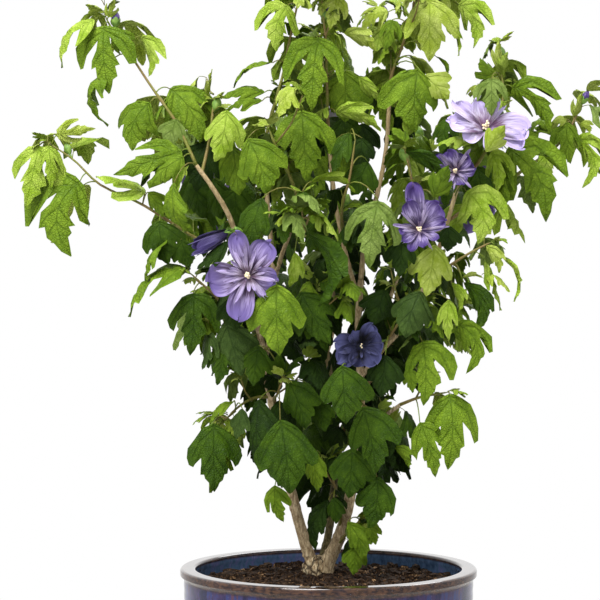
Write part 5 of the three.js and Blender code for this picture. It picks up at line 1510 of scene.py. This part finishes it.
# The front flowers as they stand: where the eye lies from the flower's middle (x, z), and each outer
# petal's turn round it as seen from the front, its length, width, rise in degrees and curl.
bloomShapes = {
    "open": {"eye": (5, 0), "inner": 24, "petals": (
        (188, 42, 38, 12, -0.3), (258, 46, 32, 14, -0.2), (106, 45, 24, 16, -0.2), (57, 41, 32, 12, -0.35),
        (-10, 31, 26, 25, -0.3))},
    "wide": {"eye": (-10, -8), "inner": 9, "ruffle": 0.06, "petals": (
        (166, 39, 34, 16, -0.3), (133, 44, 27, 22, -0.2), (106, 32, 18, 38, 0), (64, 35, 10, 48, 0),
        (6, 46, 34, 14, -0.3), (-30, 44, 28, 10, -0.35), (218, 24, 22, 18, -0.5))},
    "rumpled": {"eye": (-1, -4), "inner": 12, "tint": "blue", "ruffle": 0.1, "petals": (
        (148, 27, 17, 30, -0.5), (184, 20, 17, 35, -0.4), (112, 22, 19, 30, -0.4), (55, 21, 21, 30, -0.3),
        (8, 20, 19, 30, -0.5), (-60, 18, 16, 35, -0.3), (232, 16, 15, 35, -0.4))},
    "folding": {"eye": (-6, -15), "inner": 12, "tint": "blue", "ruffle": 0.07, "anthers": 8, "petals": (
        (98, 48, 21, 20, -0.1), (113, 36, 20, 34, -0.1), (55, 34, 31, 14, -0.25), (16, 28, 17, 30, -0.4),
        (-30, 27, 10, 30, 0.2), (-112, 24, 12, 28, -0.2), (-75, 21, 13, 40, -0.2), (182, 20, 14, 35, -0.5),
        (216, 22, 12, 35, -0.3))},
    "withering": {"eye": (-1, -2), "inner": 10, "ruffle": 0.12, "anthers": 3, "petals": (
        (172, 27, 24, 38, -0.9), (215, 29, 24, 34, -0.8), (255, 21, 22, 40, -0.8), (-50, 24, 24, 40, -0.8),
        (10, 22, 27, 44, -1.0), (62, 26, 19, 38, -0.6), (120, 18, 19, 46, -0.6))},
    "closed": {"eye": (24, 7), "inner": 0, "tint": "dusk", "facing": (-0.86, -0.25, -0.42), "petals": (
        (90, 47, 17, 80, 0.1), (18, 45, 17, 82, 0.1), (-54, 46, 17, 78, 0.1), (198, 44, 17, 80, 0.1),
        (234, 48, 15, 82, 0.1), (140, 42, 16, 76, 0.1))},
}
petals = {name: [] for name in petalLook["tints"]}
greenParts, creamParts, calyxAt = [], [], []
for number, flower in enumerate(flowers):
    shape = bloomShapes.get(flower["shape"], {})
    facing = unit(np.array(shape.get("facing", flowerFacing[number])))
    width, openness = flower["across"], flower["open"]
    cup = 1.2 - openness
    least, most = flowerShape["reach"]
    reach = least * width if openness < 0.6 else min(least * width / math.cos(cup), most * width)
    tint = "petals_" + shape.get("tint", flower["tint"])
    innerTint = "petals_soft" if tint in ("petals_violet", "petals_blue") else tint
    base = flowerAt[number] - facing * flowerShape["baseBack"] * width
    if shape:
        base = base + np.array([shape["eye"][0], 0, shape["eye"][1]])
        turn, length, wide, rise, curl = np.array(shape["petals"], float).T
        turn, rise = np.radians(turn), np.radians(rise)
        seen = np.stack([np.cos(turn), 0 * turn, np.sin(turn)], axis=1)
        ways = unit(seen - facing * dot(seen, facing))
    else:
        order = number * 3 + np.arange(flowerShape["petals"])
        ways = spokes(facing, circle(flowerShape["petals"]) + 0.3 + 0.5 * number + 0.12 * chance(order))
        length = reach * (0.92 + 0.14 * chance(order))
        wide = reach * flowerShape["petalWidth"]
        rise = cup * (0.85 + 0.35 * chance(order * 1.7)) + 0.1
        curl = -0.35 - 0.25 * openness
    petals[tint].append(petalSurfaces(
        base + flowerShape["petalStart"] * width * ways, ways, facing, length, wide, rise, curl,
        shape.get("ruffle", flowerShape["ruffle"]), number * 7.7 + np.arange(len(ways)),
        *flowerShape["petalGrid"]))
    count = shape.get("inner", flowerShape["inner"])
    if count:
        order = number * 11.3 + np.arange(count) * 1.9
        ways = spokes(facing, np.arange(count) * goldenTurn + 0.4 * chance(order))
        short, long = flowerShape["innerLength"]
        petals[innerTint].append(petalSurfaces(
            base + flowerShape["innerStart"] * width * ways, ways, facing,
            reach * (short + (long - short) * chance(order + 0.6)),
            reach * flowerShape["innerWidth"] * (0.7 + 0.7 * chance(order + 2.1)),
            0.4 + 0.5 * chance(order + 3.7), -0.7 * chance(order + 5.2), flowerShape["innerRuffle"],
            order, *flowerShape["innerGrid"]))
    if openness > 0.3:
        count = shape.get("anthers", flowerShape["anthers"])
        order = number * 5.1 + np.arange(count) * 2.3
        out = flowerShape["antherOut"] * width * np.sqrt(chance(order))
        spread = spokes(facing, np.arange(count) * goldenTurn) * out[:, None]
        low, more = flowerShape["antherUp"]
        rise = facing * (width * (low + more * chance(order + 1.1)))[:, None]
        creamParts.append(beads(base + spread + rise, np.full(count, flowerShape["antherSize"] * width)))
    back = base - facing * flowerShape["calyxBack"] * width
    calyxAt.append(back)
    flat = 0.1 if openness > 0.3 else 1.15
    for kind, rise, turn in (("sepals", flat, 0.5), ("bracts", flat - 0.3, 1.5)):
        count, length, wide = flowerShape[kind]
        greenParts.append(petalSurfaces(
            back, spokes(facing, circle(count) + turn), facing, length * width, wide * width, rise, 0.05, 0.01,
            number * 3.1 + np.arange(count), *flowerShape["calyxGrid"], True)[:2])

for name, (blade, rim, base) in petalLook["tints"].items():
    addPiece(name, petalFinish(name.replace("petals", "petal"), blade, rim, base), petals[name])
addPiece("anthers",
         plainPlantFinish("anther_cream", (246, 236, 204), (222, 196, 150), 400.0, 0.7), creamParts)

# Flower stalks bend from the nearest wood into the calyx and swell towards it.
backs = np.array(calyxAt)
starts = wood[nearestWood(backs)]
t = np.linspace(0, 1, 12)
bendAt = backs - flowerFacing * flowerShape["stalkBend"]
ways = (starts[:, None] * ((1 - t) ** 2)[:, None] + bendAt[:, None] * (2 * t * (1 - t))[:, None]
        + backs[:, None] * (t**2)[:, None])
swell = np.interp(t, *zip(*flowerShape["stalkRadii"]))
greenParts.append(tubes(ways, np.tile(swell, (len(backs), 1)), 8))

# Buds: an egg wound of five petals in a calyx whose five tips part round it, on a short stalk
budShape = {
    "radius": 4.9, "halfLength": 9.0, "at": 14.5, "bracts": 7, "ridge": 0.09,
    "out": 2.5,  # how far the petals stand out of the calyx
    "bractLength": 11, "bractWidth": 1.7, "stalkRadii": (0.9, 0.85, 0.95, 1.6),
}


def budSurface(centre, aim, radius, halfLength, low, high, grow, jag=0, ends=None, rows=10, sides=20):
    angle = circle(sides)[None]
    v = np.linspace(low, high, rows)[:, None]
    v = v + jag * np.abs(np.sin(2.5 * angle)) * (v - low) / (high - low)
    wide = radius * np.sin(np.pi * np.clip(v, 0, 1)) ** 0.75 * grow
    wide = wide * (1 + budShape["ridge"] * np.sin(5 * angle + 5 * v))
    first = acrossOf(aim)[0]
    second = np.cross(aim, first)
    points = (centre + aim * ((2 * v - 1) * halfLength)[..., None] + first * (wide * np.cos(angle))[..., None]
              + second * (wide * np.sin(angle))[..., None]).reshape(-1, 3)
    shell = gridFaces(rows, sides, closed=True)
    if ends is None:
        return points, shell
    return np.vstack([points, *ends]), np.vstack([shell, capFaces(rows, sides)])


budParts = []
for bud in buds:
    aim = bud["aim"]
    size = 0.85 + 0.3 * chance(bud["key"])
    centre = bud["foot"] + aim * budShape["at"] * size
    radius, half = budShape["radius"] * size, budShape["halfLength"] * size
    if bud["coloured"]:
        out = budShape["out"]
        ends = [centre + aim * (out - half * 0.95), centre + aim * (out + half)]
        budParts.append(budSurface(centre + aim * out, aim, radius * 0.95, half, 0.06, 0.985, 1.0, ends=ends))
        greenParts.append(budSurface(centre, aim, radius, half, 0.02, 0.44, 1.1, 0.22))
    else:
        ends = [centre - aim * half, centre + aim * half]
        greenParts.append(budSurface(centre, aim, radius, half, 0.03, 0.985, 1.05, ends=ends))
    way = bud["foot"] + (centre - aim * half * 0.9 - bud["foot"]) * np.linspace(0, 1, 4)[:, None]
    greenParts.append(tubes(way[None], [budShape["stalkRadii"]], 7))
    count = budShape["bracts"]
    greenParts.append(petalSurfaces(
        centre - aim * half * 0.85, spokes(aim, circle(count)), aim, budShape["bractLength"] * size,
        budShape["bractWidth"], 0.85, 0.5, 0.02, bud["key"] + np.arange(count), 6, 3, True)[:2])
addPiece("buds", plainPlantFinish("bud_violet", (92, 70, 138), (52, 36, 92), 300.0), budParts)
addPiece("calyxes", plainPlantFinish("calyx_green", (112, 142, 54), (78, 112, 38)), greenParts)
print("flowers and buds done:", len(flowers), "flowers,", len(buds), "buds")


# Turns a profile of radius and height round the upright axis. Its first and last points lie on
# the axis, close the shape and come last among the points.
def lathed(profile, sides):
    profile = np.asarray(profile, float)
    angle = circle(sides)
    wall = profile[1:-1]
    points = np.stack([wall[:, :1] * np.cos(angle), wall[:, :1] * np.sin(angle),
                       np.repeat(wall[:, 1:], sides, axis=1)], axis=-1).reshape(-1, 3)
    faces = np.vstack([gridFaces(len(wall), sides, closed=True), capFaces(len(wall), sides)])
    return np.vstack([points, [0, 0, profile[0, 1]], [0, 0, profile[-1, 1]]]), faces


def stretch(start, end, count):
    return np.linspace(start, end, count, endpoint=False)


# The pot's profile: up the bulging wall, round the flat rim and down the inside.
def potProfile():
    rimFoot = pot["height"] - pot["rimDepth"] - 0.4
    share = np.linspace(0, 1, 60)
    bulge = np.sin(share * np.pi / 2)
    z = pot["footBevel"] + share * (rimFoot - pot["footBevel"])
    r = pot["footRadius"] + (pot["waistRadius"] - pot["footRadius"]) * bulge
    r = r - pot["rings"] * (1 - np.cos(z * 0.83)) * np.minimum(1, share * 8)
    outside, inside, top = pot["rimRadius"], pot["rimRadius"] - pot["rimWidth"], pot["height"]
    angle = np.linspace(0, 0.5, 8)[:, None] * np.pi
    corner = pot["rimRound"] * np.hstack([np.cos(angle), np.sin(angle)])
    low, high = np.array([outside, top - pot["rimDepth"]]), np.array([outside, top])
    edge = np.array([-1, -1]) * pot["rimRound"]
    rim = np.vstack([
        low + corner[::-1] * [1, -1] * 0.6 + edge * [0.6, -0.6], high + corner + edge,
        stretch((outside - pot["rimRound"], top), (inside + pot["rimRound"], top), 5)[1:],
        [inside, top] + corner[::-1] * [-1, 1] + edge * [-1, 1], [inside, rimFoot]])
    inner = pot["waistRadius"] - pot["wall"]
    low = pot["footRadius"] - pot["wall"]
    return np.vstack([
        [0, 0], stretch((60, 0), (pot["footRadius"] - pot["footBevel"], 0), 2),
        [pot["footRadius"] - pot["footBevel"], 0], [pot["footRadius"] - 0.8, 0.9], np.stack([r, z], axis=1),
        rim, stretch((inner, rimFoot - 3), (low, pot["floor"] + 6), 30), [low, pot["floor"] + 6],
        [low - 8, pot["floor"]], [0, pot["floor"]]])


points, faces = lathed(potProfile(), 176)
turn = np.arctan2(points[:, 1], points[:, 0])
points[:, :2] *= (1 - pot["oval"] * (1 + np.sin(2 * turn + points[:, 2] * 0.01)))[:, None]
addPiece("pot_glazed", glazeFinish(), [(points, faces)], ["pot"])

edgeZ = soilTop - soil["mound"]
wallTop = pot["waistRadius"] - pot["wall"] - 0.9
wallFoot = pot["footRadius"] - pot["wall"] - 0.6
floorZ = pot["floor"] + 0.4  # the soil keeps a little clear of the pot all round


# The height of the soil's surface at a distance from the middle, before its roughness
def soilHeight(radius):
    return np.interp(radius, [soil["plateau"] * 0.7, soil["plateau"] * 1.4, wallTop * 0.8, wallTop],
                     [soilTop, soilTop - 1.4, edgeZ + 1, edgeZ])


def soilRoughness(points):
    return (soil["rough"] * unevenness(points, 15.0, 2.2)
            + 0.55 * soil["rough"] * unevenness(points, 5.5, 6.2) - soil["sunk"])


radius = np.linspace(wallTop - 0.5, 1.5, 84)
points, faces = lathed(np.vstack([
    [0, floorZ], [wallFoot - 8, floorZ], [wallFoot, floorZ + 6.2], [wallTop, edgeZ - 3],
    np.stack([radius, soilHeight(radius)], axis=1), [0, soilTop]]), 190)
ring = points[:-2]
ring[:, 2] += np.where(ring[:, 2] >= edgeZ - 0.5, soilRoughness(ring), 0)
finish = soilFinish("soil_dark", (24, 17, 11), (64, 46, 32))
addPiece("soil_surface", finish, [(points, faces)], ["soil"])

# Crumbs, bark chips and pale grains lie on it: small blocks with their corners moved. Each kind's
# count, least and greatest size, length in shares of its width, dark and light
crumbKinds = {
    "soil_crumbs": (2300, (2.2, 8.5), 1.4, (30, 20, 13), (104, 76, 50)),
    "soil_chips": (900, (2.0, 4.4), 3.0, (112, 80, 52), (210, 170, 124)),
    "soil_grains": (90, (1.1, 2.2), 1.2, (190, 180, 160), (232, 226, 212)),
}
block = np.array([(x, y, z) for z in (-1, 1) for y in (-1, 1) for x in (-1, 1)], float)
blockFaces = np.array([(0, 2, 3, 1), (4, 5, 7, 6), (0, 1, 5, 4), (2, 6, 7, 3), (0, 4, 6, 2), (1, 3, 7, 5)])
for kindNumber, (name, (count, (least, most), long, dark, light)) in enumerate(crumbKinds.items()):
    order = np.arange(count) * 1.37 + kindNumber * 500.3
    away = np.sqrt(chance(order)) * (wallTop - 4)
    turn = 6.2832 * chance(order + 0.71)
    size = least + (most - least) * chance(order + 0.13) ** 2
    spot = np.stack([away * np.cos(turn), away * np.sin(turn), soilHeight(away)], axis=1)
    spot[:, 2] += soilRoughness(spot) + 0.35 * size
    corners = block[None] * (0.62 + 0.5 * chance(order[:, None, None] * 2.3 + np.arange(24).reshape(8, 3)))
    corners = corners * size[:, None, None] * 0.5 * np.array([long, 1, 0.75])
    for axis, amount in ((0, 0.9), (1, 0.6), (2, 6.28)):
        angle = amount * (chance(order + 3.1 * axis + 0.5) - 0.5 * (axis < 2))[:, None]
        p, q = [c for c in range(3) if c != axis]
        first, second = corners[..., p].copy(), corners[..., q].copy()
        corners[..., p] = first * np.cos(angle) - second * np.sin(angle)
        corners[..., q] = first * np.sin(angle) + second * np.cos(angle)
    points = (spot[:, None] + corners).reshape(-1, 3)
    addPiece(name, soilFinish(name.replace("soil", "crumb"), dark, light, 420.0),
             [(points, copiesOf(blockFaces, count, 8))], smooth=False)
print("pot and soil done")

# Stage: a pale round floor, soft light from above and the camera
studio = {
    "floorRadius": 900, "floorTint": (236, 234, 230), "floorPatches": (226, 224, 220),
    "skyStrength": 1.0, "skyBelow": 0.3, "aim": (0, 0, 0.6),
    "lights": (  # name, place, width and power
        ("light_top", (-0.6, -1.2, 2.6), 1.3, 84),
        ("light_front", (-1.0, -2.3, 1.3), 1.2, 16),
        ("light_back", (0.6, 1.6, 2.2), 1.2, 24),
    ),
}
finish = Finish("floor_pale")
paper = finish.noise(finish.place(), 90.0, 3.0).rise(0.3, 0.7) * 0.3
finish.surface(finish.blend(paper, studio["floorTint"], studio["floorPatches"]), 0.8)
edge = studio["floorRadius"]
putMesh("floor", finish.material, *lathed(
    [(0, -6), (100, -6), (edge, -6), (edge, -1.5), (edge - 1, -0.5), (100, -0.5), (0, -0.5)], 96))


# The rotation that points a light or camera from one place to another
def lookFrom(place, target):
    back = unit(np.array(place, float) - np.array(target, float))
    return math.atan2(math.hypot(back[0], back[1]), back[2]), 0, math.atan2(back[1], back[0]) + math.pi / 2


scene = bpy.context.scene
for name, place, width, power in studio["lights"]:
    light = bpy.data.lights.new(name, "AREA")
    light.shape = "DISK"
    light.size = width
    light.energy = power
    holder = bpy.data.objects.new(name, light)
    holder.location = place
    holder.rotation_euler = lookFrom(place, studio["aim"])
    scene.collection.objects.link(holder)
world = bpy.data.worlds.new("studio")
world.use_nodes = True
sky = world.node_tree
background = sky.nodes["Background"]
background.inputs["Strength"].default_value = studio["skyStrength"]
# White all round and above, and darker from below, where a studio's floor gives little light back
direction = sky.nodes.new("ShaderNodeTexCoord")
parts = sky.nodes.new("ShaderNodeSeparateXYZ")
level = sky.nodes.new("ShaderNodeMapRange")
for name, value in (("From Min", -0.75), ("From Max", -0.2), ("To Min", studio["skyBelow"])):
    level.inputs[name].default_value = value
sky.links.new(direction.outputs["Generated"], parts.inputs[0])
sky.links.new(parts.outputs["Z"], level.inputs["Value"])
sky.links.new(level.outputs["Result"], background.inputs["Color"])
scene.world = world
scene.view_settings.view_transform = "Standard"

cameraData = bpy.data.cameras.new("camera")
cameraData.sensor_width = view["sensor"]
cameraData.lens = view["sensor"] * -view["at"][1] / view["seenWidth"]
camera = bpy.data.objects.new("camera", cameraData)
camera.location = view["at"]
camera.rotation_euler = (math.pi / 2, 0, 0)
scene.collection.objects.link(camera)
scene.camera = camera
print("stage set")
